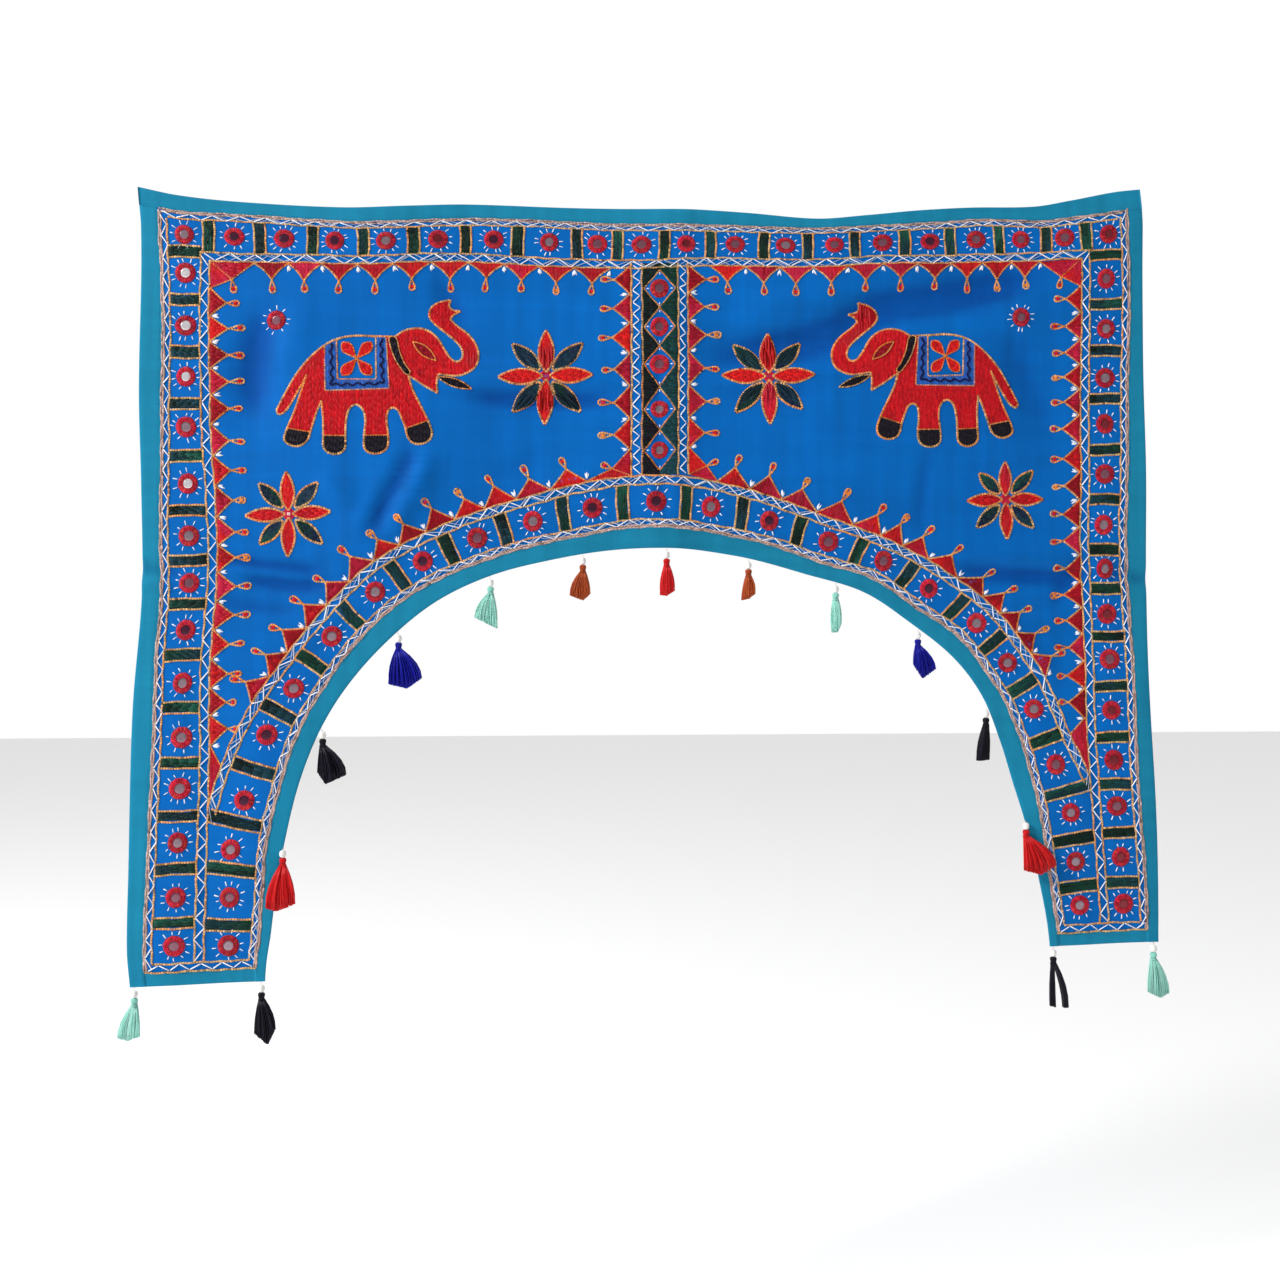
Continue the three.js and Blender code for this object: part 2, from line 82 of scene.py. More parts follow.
# Columns: u, rise of the held top edge
TOP_EDGE = [
    (-700, 11), (-650, 2), (-560, -5), (-430, -9), (-340, -4), (-260, 0), (-120, -1), (0, 0), (60, 1),
    (130, -2), (228, -8), (300, -1), (375, 8), (450, 14), (545, 18), (600, 28), (660, 40), (700, 45),
]
# Rise of the cloth below the top edge at its middle, how much more it is at the right side, and the depth
# over which the shape of the top edge fades out
MIDDLE_LIFT = 26
SIDE_LIFT = 18
SAG_FADE = 95
# Columns: v, sideways lean of the left edge, of the right edge
LEG_SPLAY = [
    (-1080, -15, 26), (-1030, -18.5, 25), (-920, -16, 21), (-705, -12, 12), (-545, 0, 9), (-400, -1, 9),
    (-270, -4, 5), (-55, 0, 2), (0, -4, -3),
]
# Columns: u, v, half width, half height, rise of a wide swell
SWELLS = [
    (-400, -330, 190, 200, 9), (350, -310, 200, 190, 8), (10, -450, 170, 90, 7), (-610, -930, 130, 190, 11),
    (630, -900, 120, 180, 13), (-430, -70, 140, 80, 6), (220, -70, 130, 80, 6), (-555, -250, 55, 130, -5),
    (550, -280, 55, 140, -5),
]
# Columns: start u, start v, end u, end v, half width, rise of a fold
FOLDS = [
    (16, -30, 12, -490, 42, 5), (-250, -262, -60, -270, 38, 3), (90, -270, 300, -262, 38, 3),
    (-690, -20, -500, -190, 55, 6), (690, -20, 520, -170, 55, 6), (-330, -390, -400, -480, 40, 5),
    (-590, -500, -440, -535, 38, -4), (410, -525, 610, -545, 38, 4), (-600, -700, -580, -1060, 45, -4),
    (600, -640, 640, -1060, 45, -4),
]
# Creases: their bow as a share of their length, how fast they fade to their ends, and how much painted shade
# darkens the cloth's colour, and how soon, in one that is pressed in by CREASE_DEEP
CREASE_BOW = 0.03
CREASE_FADE = 1.8
CREASE_DEEP = 5
CREASE_CONTRAST = 1.4
CREASE_PAINTED_SHADE = np.array([0.6, 0.42, 0.28])
# Columns as for the folds. These are too fine for the solids
CREASES = [
    (17, -95, 13, -480, 9, -2.8), (26, -100, 22, -470, 10, 1.6), (-272, -256, -42, -264, 14, 4.6),
    (-276, -281, -42, -287, 15, -6.4), (80, -262, 236, -258, 12, 2.6), (84, -281, 232, -278, 14, -3.2),
    (-326, -350, -398, -480, 13, -7.6), (-312, -366, -366, -476, 12, 4.6), (-350, -366, -416, -470, 13, 3.4),
    (-604, -500, -452, -520, 10, -6.8), (-590, -516, -470, -533, 10, 3.4), (-570, -528, -446, -542, 11, -6.8),
    (-610, -556, -480, -574, 12, -3.4), (-712, -510, -640, -520, 12, -3.6), (-712, -532, -650, -540, 12, 2.8),
    (412, -518, 616, -536, 10, 3.6), (410, -534, 624, -552, 12, -7.2), (640, -546, 712, -560, 13, -4.0),
    (-532, -150, -550, -320, 25, -6.2), (-486, -150, -500, -240, 22, 2.4), (500, -190, 566, -350, 26, -3.2),
    (-600, -780, -590, -1040, 9, -1.6), (612, -760, 640, -1040, 9, -1.6), (-180, -420, -60, -395, 13, 2.8),
    (150, -400, 290, -440, 14, 3.0), (-420, -560, -500, -640, 12, 2.8), (470, -600, 560, -690, 12, 2.8),
    (-690, -300, -560, -330, 11, 2.2), (580, -430, 690, -450, 11, 2.2), (-300, -110, -260, -190, 15, -3.4),
    (70, -236, 330, -170, 28, -7.8), (250, -164, 560, -112, 26, -8.4), (120, -168, 300, -140, 22, 4.2),
    (386, -362, 372, -500, 12, -2.9), (-470, -395, -410, -430, 18, 4.0), (-230, -400, -150, -360, 16, -1.7),
    (230, -330, 330, -360, 18, -1.6), (-150, -130, -60, -165, 16, 3.2), (620, -520, 560, -600, 14, -3.6),
    (440, -370, 560, -392, 18, 3.0),
]


def curve_through(rows, column, at):
    """Smooth curve through the rows of a table, the one that the solids use."""
    table = np.array(rows, float)
    keys, values = table[:, 0], table[:, column]
    at = np.clip(np.asarray(at, float), keys[0], keys[-1])
    i = np.clip(np.searchsorted(keys, at) - 1, 0, len(keys) - 2)
    before, after = np.maximum(i - 1, 0), np.minimum(i + 2, len(keys) - 1)
    span = keys[i + 1] - keys[i]
    t = (at - keys[i]) / span
    slope_in = (values[i + 1] - values[before]) / (keys[i + 1] - keys[before])
    slope_out = (values[after] - values[i]) / (keys[after] - keys[i])
    value = (2 * t**3 - 3 * t**2 + 1) * values[i] + (t**3 - 2 * t**2 + t) * span * slope_in
    return value + (3 * t**2 - 2 * t**3) * values[i + 1] + (t**3 - t**2) * span * slope_out


def arch_at_turn(turn, distance):
    """Points on the flat arch by turn, moved away from the opening."""
    angle = np.radians(turn)
    across = -np.sign(np.cos(angle))
    c, s = np.abs(np.cos(angle)), np.abs(np.sin(angle))
    normal_u = across * c ** (2 - 2 / ARCH_POWER) / ARCH_HALF_WIDTH
    normal_v = s ** (2 - 2 / ARCH_POWER) / ARCH_HEIGHT
    size = np.hypot(normal_u, normal_v)
    reach = curve_through(ARCH_WANDER, 1, turn) + distance
    u = ARCH_CENTRE + across * ARCH_HALF_WIDTH * c ** (2 / ARCH_POWER) + normal_u / size * reach
    v = -HEIGHT + ARCH_HEIGHT * s ** (2 / ARCH_POWER) + normal_v / size * reach
    return np.stack([u, v], -1)


def run_along(path):
    """Distance of each point of a flat path from its start."""
    return np.concatenate([[0], np.cumsum(np.hypot(*np.diff(path, axis=0).T))])


ARCH_TURNS = np.linspace(0, 180, ARCH_SAMPLES + 1)
ARCH_RUN = run_along(arch_at_turn(ARCH_TURNS, 0))
ARCH_LENGTH = ARCH_RUN[-1]


def ridge(rows, u, v):
    """Height of straight folds, each fading out to its sides and past its ends."""
    height = 0
    for u0, v0, u1, v1, width, rise in rows:
        run_u, run_v = u1 - u0, v1 - v0
        t = np.clip(((u - u0) * run_u + (v - v0) * run_v) / (run_u**2 + run_v**2), 0, 1)
        away = np.hypot(u - u0 - t * run_u, v - v0 - t * run_v) / width
        height = height + rise * np.exp(-(away**2))
    return height


def crease(rows, u, v):
    """Height of fine creases, each a little bowed, deepest at its middle and fading to its ends."""
    height = 0
    for u0, v0, u1, v1, width, rise in rows:
        run_u, run_v = u1 - u0, v1 - v0
        long = math.hypot(run_u, run_v)
        along = 2 * ((u - u0) * run_u + (v - v0) * run_v) / long**2 - 1
        bow = CREASE_BOW * math.copysign(long, rise) * (1 - np.minimum(along**2, 1))
        away = (((v - v0) * run_u - (u - u0) * run_v) / long - bow) / width
        height = height + rise * np.exp(-(away**2) - CREASE_FADE * along**4)
    return height


def painted_crease_shade(u, v):
    """Painted shade on the cloth, as a share of its own colour: darker where it is pressed inwards."""
    pressed = np.clip(-crease(CREASES, u, v) / CREASE_DEEP, 0, 1) ** CREASE_CONTRAST
    return 1 - pressed.reshape(-1, 1) * CREASE_PAINTED_SHADE


def relief(u, v):
    """Height of the cloth in front of the wall plane."""
    height = ridge(FOLDS, u, v) + crease(CREASES, u, v)
    for swell_u, swell_v, wide, tall, rise in SWELLS:
        height = height + rise * np.exp(-(((u - swell_u) / wide) ** 2) - ((v - swell_v) / tall) ** 2)
    return height


def hang(u, v, lift):
    """Flat pattern to the hung shape, in metres. lift is the distance in front of the cloth's middle."""
    level = MIDDLE_LIFT + SIDE_LIFT * u / HALF
    held = curve_through(TOP_EDGE, 1, u)
    splay = np.where(u < 0, curve_through(LEG_SPLAY, 1, v), curve_through(LEG_SPLAY, 2, v))
    x = u + splay * np.abs(u) / HALF
    z = v + level + (held - level) * np.exp(v / SAG_FADE)
    return np.stack([x, -relief(u, v) - lift, z], -1) * MM


# Distances of the band's lines from the edge of the cloth
LINE_SEAM = 26.6
SEAM_LINES_APART = 2.4
LINE_OUTER = 37
CELL_NEAR = 38.5
CELL_FAR = 79.5
LINE_CELL = 80.5
BAND_INNER = 92.5
TOOTH_BASE = 93.8
TOOTH_TIP = 117
LOOP_LONG = 20
LOOP_WIDE = 10
# v of the lines across the feet, then u of the lines of the middle column and of the patches in it
FOOT_OUTER = -1061.5
FOOT_INNER = -1050
COLUMN_LEFT = -35
COLUMN_RIGHT = 44
# The column's lines bow to the right by this much at this v
COLUMN_BOW = 1.5
COLUMN_BOW_AT = -240
PATCH_LEFT = -20
PATCH_MIDDLE = 5
PATCH_RIGHT = 30
BAR_HALF = 6.2
BAR_LINE_OUT = 1.8
MIRROR_DOWN = 58

# The hand-sewn bands stray from the edges. Columns: place along the edge, how much farther from it the
# strip's seam and the outer lines lie, how much farther the inner lines lie
TOP_DRIFT = [
    (-640, -2, 1), (-560, -5, 1), (-480, -2.5, 0), (-400, 0.5, 1.5), (-320, -0.5, -1), (-240, -2, 0),
    (-160, -2, 4), (-80, 1, 6), (0, 2.8, 7), (80, 2, 3), (160, 0, 3), (240, -4, 1), (320, -2, -1.5),
    (400, -1, 1), (480, -4, 0), (560, 1, -1), (640, 3, 3),
]
LEFT_DRIFT = [
    (-1040, -5, 6.5), (-970, -3, 8), (-900, -1.5, 8), (-830, 0, 9), (-760, 1.5, 9), (-690, 1, 6),
    (-620, -2, 4.5), (-550, -1, 6), (-480, -3, 7), (-410, -1, 5.5), (-340, 2, 2), (-270, 3.5, 1.5),
    (-200, 3.7, -1), (-130, 1, -1), (-60, -2, 1),
]
RIGHT_DRIFT = [
    (-1040, -11, -9), (-970, -8, -5), (-900, -4, -1.5), (-830, -2.5, 0), (-760, -4, 0.5), (-690, -5, -1.5),
    (-620, -2, 0), (-550, 1, 3.5), (-480, 3, 5), (-410, 1, 3.5), (-340, -1.3, 2.5), (-270, -3.5, 0),
    (-200, -6.5, -1.5), (-130, -7, -1), (-60, -4, 0),
]
# The place is a share of the arch's length here
ARCH_DRIFT = [
    (0, -14, 17), (0.0425, -12, 17), (0.073, -9, 17), (0.105, -4, 17), (0.1425, -4, 14), (0.18, -1.8, 9),
    (0.2175, -1.8, 2),
    (0.255, 2, 2.5), (0.2925, 3, 4.5), (0.33, -1.3, -1), (0.3675, -3.8, -2.5), (0.405, -2, -0.5),
    (0.4425, -1.3, 4.5), (0.48, 3, 8.5), (0.5175, 2.2, 8), (0.555, -0.3, 3.5), (0.5925, -1.3, -3),
    (0.63, -5.5, -8.5), (0.6675, -4, -11), (0.705, -5, -5), (0.7425, -0.5, -1.5), (0.78, -3.8, -3.5),
    (0.8175, 0.5, 2.5), (0.85, 1.5, 6), (0.8675, 0, 12), (0.8925, -3, 16), (0.922, -9, 16), (0.953, -13, 16),
    (1, -14, 16),
]


def drifted(rows, a, d):
    """Distance from the edge with the band's stray."""
    d = np.asarray(d, float)
    near, far = curve_through(rows, 1, a), curve_through(rows, 2, a)
    inner = np.clip((d - LINE_OUTER) / (LINE_CELL - LINE_OUTER), 0, 1)
    return d + near * np.clip(d / STRIP_WIDTH, 0, 1) * (1 - inner) + far * inner


def pairs(first, second):
    """Two rows of numbers side by side, as flat points."""
    return np.stack(np.broadcast_arrays(first, second), -1)


def way_at(angle):
    """Unit vector at an angle, or one for each of many angles."""
    return pairs(np.cos(angle), np.sin(angle))


def left_of(way):
    return pairs(-way[..., 1], way[..., 0])


# Lanes: along an edge and away from it, to the flat pattern
def lane_top(a, d):
    return pairs(a, -drifted(TOP_DRIFT, a, d))


def lane_left(a, d):
    return pairs(drifted(LEFT_DRIFT, a, d) - HALF, a)


def lane_right(a, d):
    return pairs(HALF - drifted(RIGHT_DRIFT, a, d), a)


def lane_arch(a, d):
    a = np.asarray(a, float)
    return arch_at_turn(np.interp(a, ARCH_RUN, ARCH_TURNS), drifted(ARCH_DRIFT, a / ARCH_LENGTH, d))


def lane_column_left(a, d):
    """Left of the middle column, away from it to the left."""
    return pairs(COLUMN_LEFT + BAND_INNER - np.asarray(d, float), a)


def lane_column_right(a, d):
    """Right of the middle column, away from it to the right."""
    return pairs(COLUMN_RIGHT - BAND_INNER + np.asarray(d, float), a)


def circle(count, turn=0.0, closed=False):
    """Points on a unit circle."""
    return way_at(turn + np.linspace(0, 2 * math.pi, count, endpoint=closed))


def lane_flat(a, d):
    """The flat pattern itself."""
    return pairs(a, d)


def lane_hem(a, d):
    """Up from the foot of a leg."""
    return pairs(a, np.asarray(d, float) - HEIGHT)


def in_lane(lane, points):
    points = np.asarray(points, float)
    return lane(points[:, 0], points[:, 1])


def linear(red, green, blue):
    """Linear colour of a screen colour, 0 to 255."""
    share = np.array([red, green, blue]) / 255
    return np.where(share <= 0.04045, share / 12.92, ((share + 0.055) / 1.055) ** 2.4)


# Thread and cloth colours
GOLD = linear(208, 164, 108)
ORANGE = linear(228, 130, 54)
DULL_GOLD = linear(178, 148, 138)
WHITE = linear(236, 238, 246)
PALE_THREAD = linear(186, 194, 214)
REDS = [linear(172, 16, 32), linear(206, 24, 26), linear(186, 28, 62), linear(142, 10, 28)]
ELEPHANT_RED = linear(190, 14, 26)
GREENS = [linear(22, 78, 62), linear(14, 54, 40), linear(20, 60, 72), linear(12, 34, 30)]
BLACK = linear(20, 14, 26)
CRIMSON = linear(192, 28, 56)
RUST_RED = linear(184, 66, 46)
NAVY = linear(8, 16, 74)
LEAF_NAVY = linear(18, 30, 62)
PALE_BLUE = linear(38, 92, 176)
PINK = linear(236, 190, 196)
GLASS = {
    "bright": linear(228, 224, 228),
    "grey": linear(150, 128, 138),
    "mauve": linear(134, 88, 102),
    "dark": linear(78, 36, 58),
    "red": linear(128, 40, 48),
}


def stitch_form(rings, section):
    """Closed stitch along +t: rings are (t, size), the section (across, height) from right to left."""
    points = [(0, 0, 0)]
    for t, size in rings:
        points += [(t, size * across, size * height) for across, height in section]
    points.append((1, 0, 0))
    k = len(section)
    last, head = 1 + (len(rings) - 1) * k, len(points) - 1
    faces = [(0, k, 1), (head, last, last + k - 1)]
    for j in range(k - 1):
        faces += [(0, 1 + j, 2 + j), (head, last + j + 1, last + j)]
    for i in range(len(rings) - 1):
        a, b = 1 + i * k, 1 + (i + 1) * k
        for j in range(k - 1):
            faces += [(a + j, b + j, b + j + 1), (a + j, b + j + 1, a + j + 1)]
        faces += [(a, a + k - 1, b + k - 1), (a, b + k - 1, b)]
    return np.array(points, float), np.array(faces)


LINK = stitch_form([(0.2, 0.85), (0.72, 1.0)], [(-1, 0), (-0.55, 1), (0, 0.4), (0.55, 1), (1, 0)])
FLOSS = stitch_form([(0.05, 1.0), (0.95, 1.0)], [(-1, 0), (0, 1), (1, 0)])
THREAD = stitch_form([(0.1, 0.9), (0.9, 0.9)], [(-1, 0), (-0.5, 0.9), (0.5, 0.9), (1, 0)])
SMALL = stitch_form([(0.5, 1.0)], [(-1, 0), (0, 1), (1, 0)])
LEAF = stitch_form([(0.2, 0.6), (0.5, 1.0), (0.82, 0.6)], [(-1, 0), (-0.5, 0.9), (0.5, 0.9), (1, 0)])
RAY = stitch_form([(0.08, 0.5), (0.85, 1.0)], [(-1, 0), (-0.45, 0.95), (0.45, 0.95), (1, 0)])

sewn = {}


def sew(piece, form, starts, ends, width, height, tint, lift=FRONT - 0.1, side=1):
    """Keeps stitches for a piece: flat start and end points, sizes in millimetres, linear colours."""
    starts, ends = np.atleast_2d(starts), np.atleast_2d(ends)
    n = len(starts)
    spread = [np.broadcast_to(np.asarray(value, float), n) for value in (width, height, lift)]
    tint = np.broadcast_to(np.asarray(tint, float), (n, 3))
    sewn.setdefault(piece, []).append((form, starts, ends, *spread, tint, side))


def shaded(base, n, spread=0.12):
    """n colours round a base, each stitch a little lighter or darker."""
    return np.clip(np.asarray(base) * (1 + spread * rng.standard_normal((n, 1))), 0.001, 1)


def marks_along(path, pitch):
    """Points at an even pitch along a flat path."""
    path = np.asarray(path, float)
    run = run_along(path)
    at = np.linspace(0, run[-1], max(2, round(run[-1] / pitch)) + 1)
    return np.stack([np.interp(at, run, path[:, 0]), np.interp(at, run, path[:, 1])], -1), at


# Warmth of the gold thread on the long lines, from 0, tan, to 1, orange
OUTER_WARMTH = 0.03
FOOT_WARMTH = 0.06
INNER_WARMTH = 0.24

# Chain stitch: length of a link and how far it is lifted off the cloth
CHAIN_PITCH = 3.6
SEAM_LINE_PITCH = 5
CHAIN_LIFT = 0.15
CHAIN_SHADES = 0.24
# Share of a link that lies over the one before it, and length of a back stitch in links
LINK_OVERLAP = 0.22
BACK_STITCH = 2.2
# Every so many stitches there is one on the back of the cloth
STITCHES_TO_BACK = 3


def gold_tint(run, warm):
    """Gold thread drifting between tan and orange along its run."""
    slow, quick, slowest = rng.uniform(0, 2 * math.pi, 3)
    drift = np.sin(run / 47 + slow) + 0.7 * np.sin(run / 19 + quick) + 0.5 * np.sin(run / 131 + slowest)
    share = np.clip(warm + 0.22 * drift, 0, 1)[:, None]
    return GOLD * (1 - share) + ORANGE * share


def chain(piece, path, warm=0.3, width=3.2, height=0.95, tint=None, lift=0.0, form=LINK, pitch=CHAIN_PITCH):
    """Chain-stitched line along a flat path, with its small stitches on the back of the cloth."""
    marks, run = marks_along(path, pitch)
    n = len(marks) - 1
    step = np.diff(marks, axis=0)
    colours = shaded(gold_tint(run[:-1], warm) if tint is None else tint, n, CHAIN_SHADES)
    sizes = width / 2 * rng.uniform(0.88, 1.1, n)
    heights = height * rng.uniform(0.85, 1.15, n)
    starts = marks[:-1] - LINK_OVERLAP * step
    sew(piece, form, starts, marks[1:], sizes, heights, colours, FRONT + CHAIN_LIFT + lift)
    few = np.arange(0, n, STITCHES_TO_BACK)
    ends = marks[few] + BACK_STITCH * step[few]
    sew("back_stitches", SMALL, marks[few], ends, 0.5, 0.4, colours[few] * 0.85, side=-1)


def rows_inside(outline, angle, pitch, length):
    """Rows of stitches inside a closed outline, as start and end points."""
    c, s = math.cos(math.radians(angle)), math.sin(math.radians(angle))
    turn = np.array([[c, -s], [s, c]])
    p = np.asarray(outline, float) @ turn
    q = np.roll(p, -1, axis=0)
    starts, ends = [], []
    for k, y in enumerate(np.arange(p[:, 1].min() + pitch / 2, p[:, 1].max(), pitch)):
        hit = (p[:, 1] <= y) != (q[:, 1] <= y)
        crossing = p[hit, 0] + (y - p[hit, 1]) * (q[hit, 0] - p[hit, 0]) / (q[hit, 1] - p[hit, 1])
        crossing.sort()
        for x0, x1 in zip(crossing[0::2], crossing[1::2]):
            count = max(1, round((x1 - x0) / length))
            cuts = np.linspace(x0, x1, count + 1)
            if count > 1:
                cuts[1:-1] += rng.uniform(-0.3, 0.3) * length + (k % 2 - 0.5) * 0.3 * length
                cuts = np.clip(cuts, x0, x1)
            starts += [(x, y) for x in cuts[:-1]]
            ends += [(x, y) for x in cuts[1:]]
    if not starts:
        return np.zeros((0, 2)), np.zeros((0, 2))
    back = turn.T
    return np.array(starts) @ back, np.array(ends) @ back


# Rows of floss: distance between rows, and length, height and lift of their stitches
FILL_PITCH = 1.9
FILL_LENGTH = 10
UNDERLAY_LENGTH = 22
FILL_HEIGHT = 0.62
FILL_LIFT = 0.25
UNDERLAY_LIFT = 0.15
# Share of its length by which a stitch runs past each end of its place
FILL_OVERLAP = 0.07
UNDERLAY_OVERLAP = 0.05
ARCH_PITCH = FILL_PITCH * 0.8


def lay_floss(piece, starts, ends, colours, rows, pitch=FILL_PITCH, lift=0.0):
    """Rows of floss on an underlay of longer stitches painted darker as shade, so that no cloth shows between
    them.
    """
    n = len(starts)
    heights = FILL_HEIGHT * rng.uniform(0.8, 1.15, n)
    sew(piece, FLOSS, starts, ends, pitch * 0.64, heights, colours, FRONT + FILL_LIFT + lift)
    # The underlay is painted darker than the floss, as painted shade between the rows
    under = np.median(colours, axis=0) * 0.7
    sew(piece, FLOSS, *rows, pitch * 0.95, 0.4, under, FRONT + UNDERLAY_LIFT + lift)
    some = np.arange(0, n, STITCHES_TO_BACK)
    sew("back_stitches", SMALL, starts[some], ends[some], 0.6, 0.35, colours[some] * 0.8, side=-1)


def fill(piece, lane, outline, angle, tint, spread=0.13, second=None, lift=0.0):
    """Fills an outline with rows of floss. second is a colour that part of the filling drifts to."""
    pitch = ARCH_PITCH if lane is lane_arch else FILL_PITCH
    starts, ends = rows_inside(outline, angle, pitch, FILL_LENGTH)
    n = len(starts)
    if n == 0:
        return
    colours = np.broadcast_to(tint, (n, 3)).copy()
    if second is not None:
        middle = (starts + ends) / 2
        way = rng.uniform(0, 2 * math.pi)
        place = middle @ way_at(way)
        share = (place - place.min()) / max(np.ptp(place), 1)
        share = np.clip(share + 0.2 * rng.standard_normal(n), 0, 1)[:, None]
        colours = colours * (1 - share) + np.asarray(second) * share
    colours = shaded(colours, n, spread)
    grow = FILL_OVERLAP * (ends - starts)
    under_starts, under_ends = rows_inside(outline, angle, pitch, UNDERLAY_LENGTH)
    overlap = UNDERLAY_OVERLAP * (under_ends - under_starts)
    rows = [in_lane(lane, points) for points in (under_starts - overlap, under_ends + overlap)]
    lay_floss(piece, in_lane(lane, starts - grow), in_lane(lane, ends + grow), colours, rows, pitch, lift)


def smooth(points, closed=False, step=1.6):
    """Smooth curve through a few flat points."""
    p = np.asarray(points, float)
    ends = (p[-1:], p[:1], p[1:2]) if closed else (2 * p[:1] - p[1:2], 2 * p[-1:] - p[-2:-1], None)
    padded = np.concatenate([ends[0], p] + [e for e in ends[1:] if e is not None])
    pieces = []
    for i in range(len(p) if closed else len(p) - 1):
        a, b, c, d = padded[i : i + 4]
        count = max(2, int(np.hypot(*(c - b)) / step))
        t = np.linspace(0, 1, count, endpoint=False)[:, None]
        pieces.append(0.5 * (2 * b + (c - a) * t + (2 * a - 5 * b + 4 * c - d) * t**2
                             + (3 * b - a - 3 * c + d) * t**3))
    pieces.append(p[:1] if closed else p[-1:])
    return np.concatenate(pieces)


def straight(points, step=2.0):
    """The same points joined by straight lines with even steps."""
    marks = [np.asarray(points[:1], float)]
    for a, b in zip(points[:-1], points[1:]):
        count = max(1, round(math.dist(a, b) / step))
        marks.append(np.linspace(a, b, count + 1)[1:])
    return np.concatenate(marks)


def sideways(path):
    """Unit vectors to the side of a flat path."""
    side = np.gradient(path, axis=0)[:, ::-1] * (-1, 1)
    return side / np.maximum(np.hypot(*side.T), 1e-6)[:, None]


def wobble(path, size=0.5, wave=26):
    """A hand-drawn line: the path strays a little to its sides."""
    path = np.asarray(path, float)
    turn = run_along(path) * 2 * math.pi
    phase = rng.uniform(0, 2 * math.pi, 2)
    sway = np.sin(turn / wave + phase[0]) + 0.8 * np.sin(turn / (wave * 2.7) + phase[1])
    return path + sideways(path) * (size * sway)[:, None]


def leaf_sides(start, way, long, wide, steps=15, point=1.0, fullness=0.9):
    """Both long sides of a leaf-shaped outline from its root to its tip. point moves its widest place."""
    share = np.linspace(0, 1, steps)
    across = (wide / 2 * np.sin(math.pi * share**point) ** fullness)[:, None]
    spine = start + (share * long)[:, None] * way
    return [spine + side * across * left_of(way) for side in (1, -1)]


def closed_by(sides):
    """One outline of two sides that start at the same end."""
    return np.concatenate([sides[0], sides[1][::-1]])


# Long gold lines along the edges
def edge_line(lane, start, end, distance):
    a = np.linspace(start, end, max(2, int(abs(end - start) / 4)))
    return lane(a, distance)


def arch_line(distance, keep):
    """The arch's line at a distance, as far as keep says."""
    path = lane_arch(np.linspace(0, ARCH_LENGTH, 900), distance)
    return path[keep(path[:, 0], path[:, 1])]


def between_bands(u, v, spare=0.0):
    """Where the arch's inner lines haven't yet met the side bands."""
    return (u > lane_left(v, BAND_INNER)[..., 0] + spare) & (u < lane_right(v, BAND_INNER)[..., 0] - spare)


def above(level):
    return lambda u, v: v > level


ARCH_TOP = lane_arch(0.498 * ARCH_LENGTH, BAND_INNER)[1]
CELL_END_BELOW = 10
INNER_FEET = [end[1] - CELL_END_BELOW for end in arch_line(BAND_INNER, between_bands)[[0, -1]]]


def above_foot_between_bands(u, v):
    return between_bands(u, v) & (v > FOOT_INNER)


def beside_zigzag(u, v):
    """Where the arch's inner zigzag runs: its cell line ends a little below the zigzag."""
    return between_bands(u, v) & (v > np.where(u < 0, INNER_FEET[0], INNER_FEET[1]))


def foot_spans(level, distance):
    """Start and end u of the lines across the feet of both legs."""
    arch = arch_line(distance, above(level))
    return (lane_left(level, distance)[0], arch[0][0]), (arch[-1][0], lane_right(level, distance)[0])


def band_lines():
    """The long gold and dull lines round the bands, across the feet and beside the middle column."""
    for distance in (LINE_SEAM, LINE_SEAM + SEAM_LINES_APART, LINE_OUTER, LINE_CELL, BAND_INNER):
        at_seam = distance < LINE_OUTER
        foot = FOOT_OUTER if at_seam else FOOT_INNER
        warm = INNER_WARMTH if distance > LINE_CELL else OUTER_WARMTH
        piece = "gold_outer_lines" if distance < CELL_NEAR else "gold_inner_lines"
        keep = {LINE_CELL: beside_zigzag, BAND_INNER: between_bands}.get(distance, above(foot))
        look = {"tint": DULL_GOLD, "form": THREAD, "pitch": SEAM_LINE_PITCH} if at_seam else {}
        reach = HALF - distance
        paths = [edge_line(lane_top, -reach, reach, distance)]
        paths += [edge_line(lane, -distance, foot, distance) for lane in (lane_left, lane_right)]
        for path in (*paths, arch_line(distance, keep)):
            chain(piece, wobble(path), warm, **look)
    for level, distance in ((FOOT_OUTER, LINE_SEAM), (FOOT_INNER, LINE_OUTER)):
        for start, end in foot_spans(level, distance):
            chain("gold_outer_lines", wobble(pairs(np.linspace(start, end, 30), level)), FOOT_WARMTH)
    for u in (COLUMN_LEFT, PATCH_LEFT, PATCH_RIGHT, COLUMN_RIGHT):
        line = straight([(u, -BAND_INNER), (u + COLUMN_BOW, COLUMN_BOW_AT), (u, ARCH_TOP)], 4)
        chain("gold_inner_lines", wobble(line))


def zigzag(lane, start, end, near, far, half_period, keep=None, thin=False):
    """White zigzag of straight stitches between two distances from the edge."""
    count = max(2, round(abs(end - start) / half_period))
    a = np.linspace(start, end, count + 1)
    a[1:-1] += rng.uniform(-2.2, 2.2, count - 1)
    d = np.where(np.arange(count + 1) % 2 == 0, near, far) + rng.uniform(-0.9, 0.9, count + 1)
    points = lane(a, d)
    starts, ends = points[:-1], points[1:]
    if keep is not None:
        kept = keep(starts[:, 0], starts[:, 1]) & keep(ends[:, 0], ends[:, 1])
        starts, ends = starts[kept], ends[kept]
    n = len(starts)
    width, tint, lift = (0.5, PALE_THREAD, 0.3) if thin else (0.9, WHITE, 0.6)
    widths = width * rng.uniform(0.8, 1.12, n)
    sew("white_stitches", THREAD, starts, ends, widths, 1.0, shaded(tint, n, 0.06), lift=FRONT + lift)


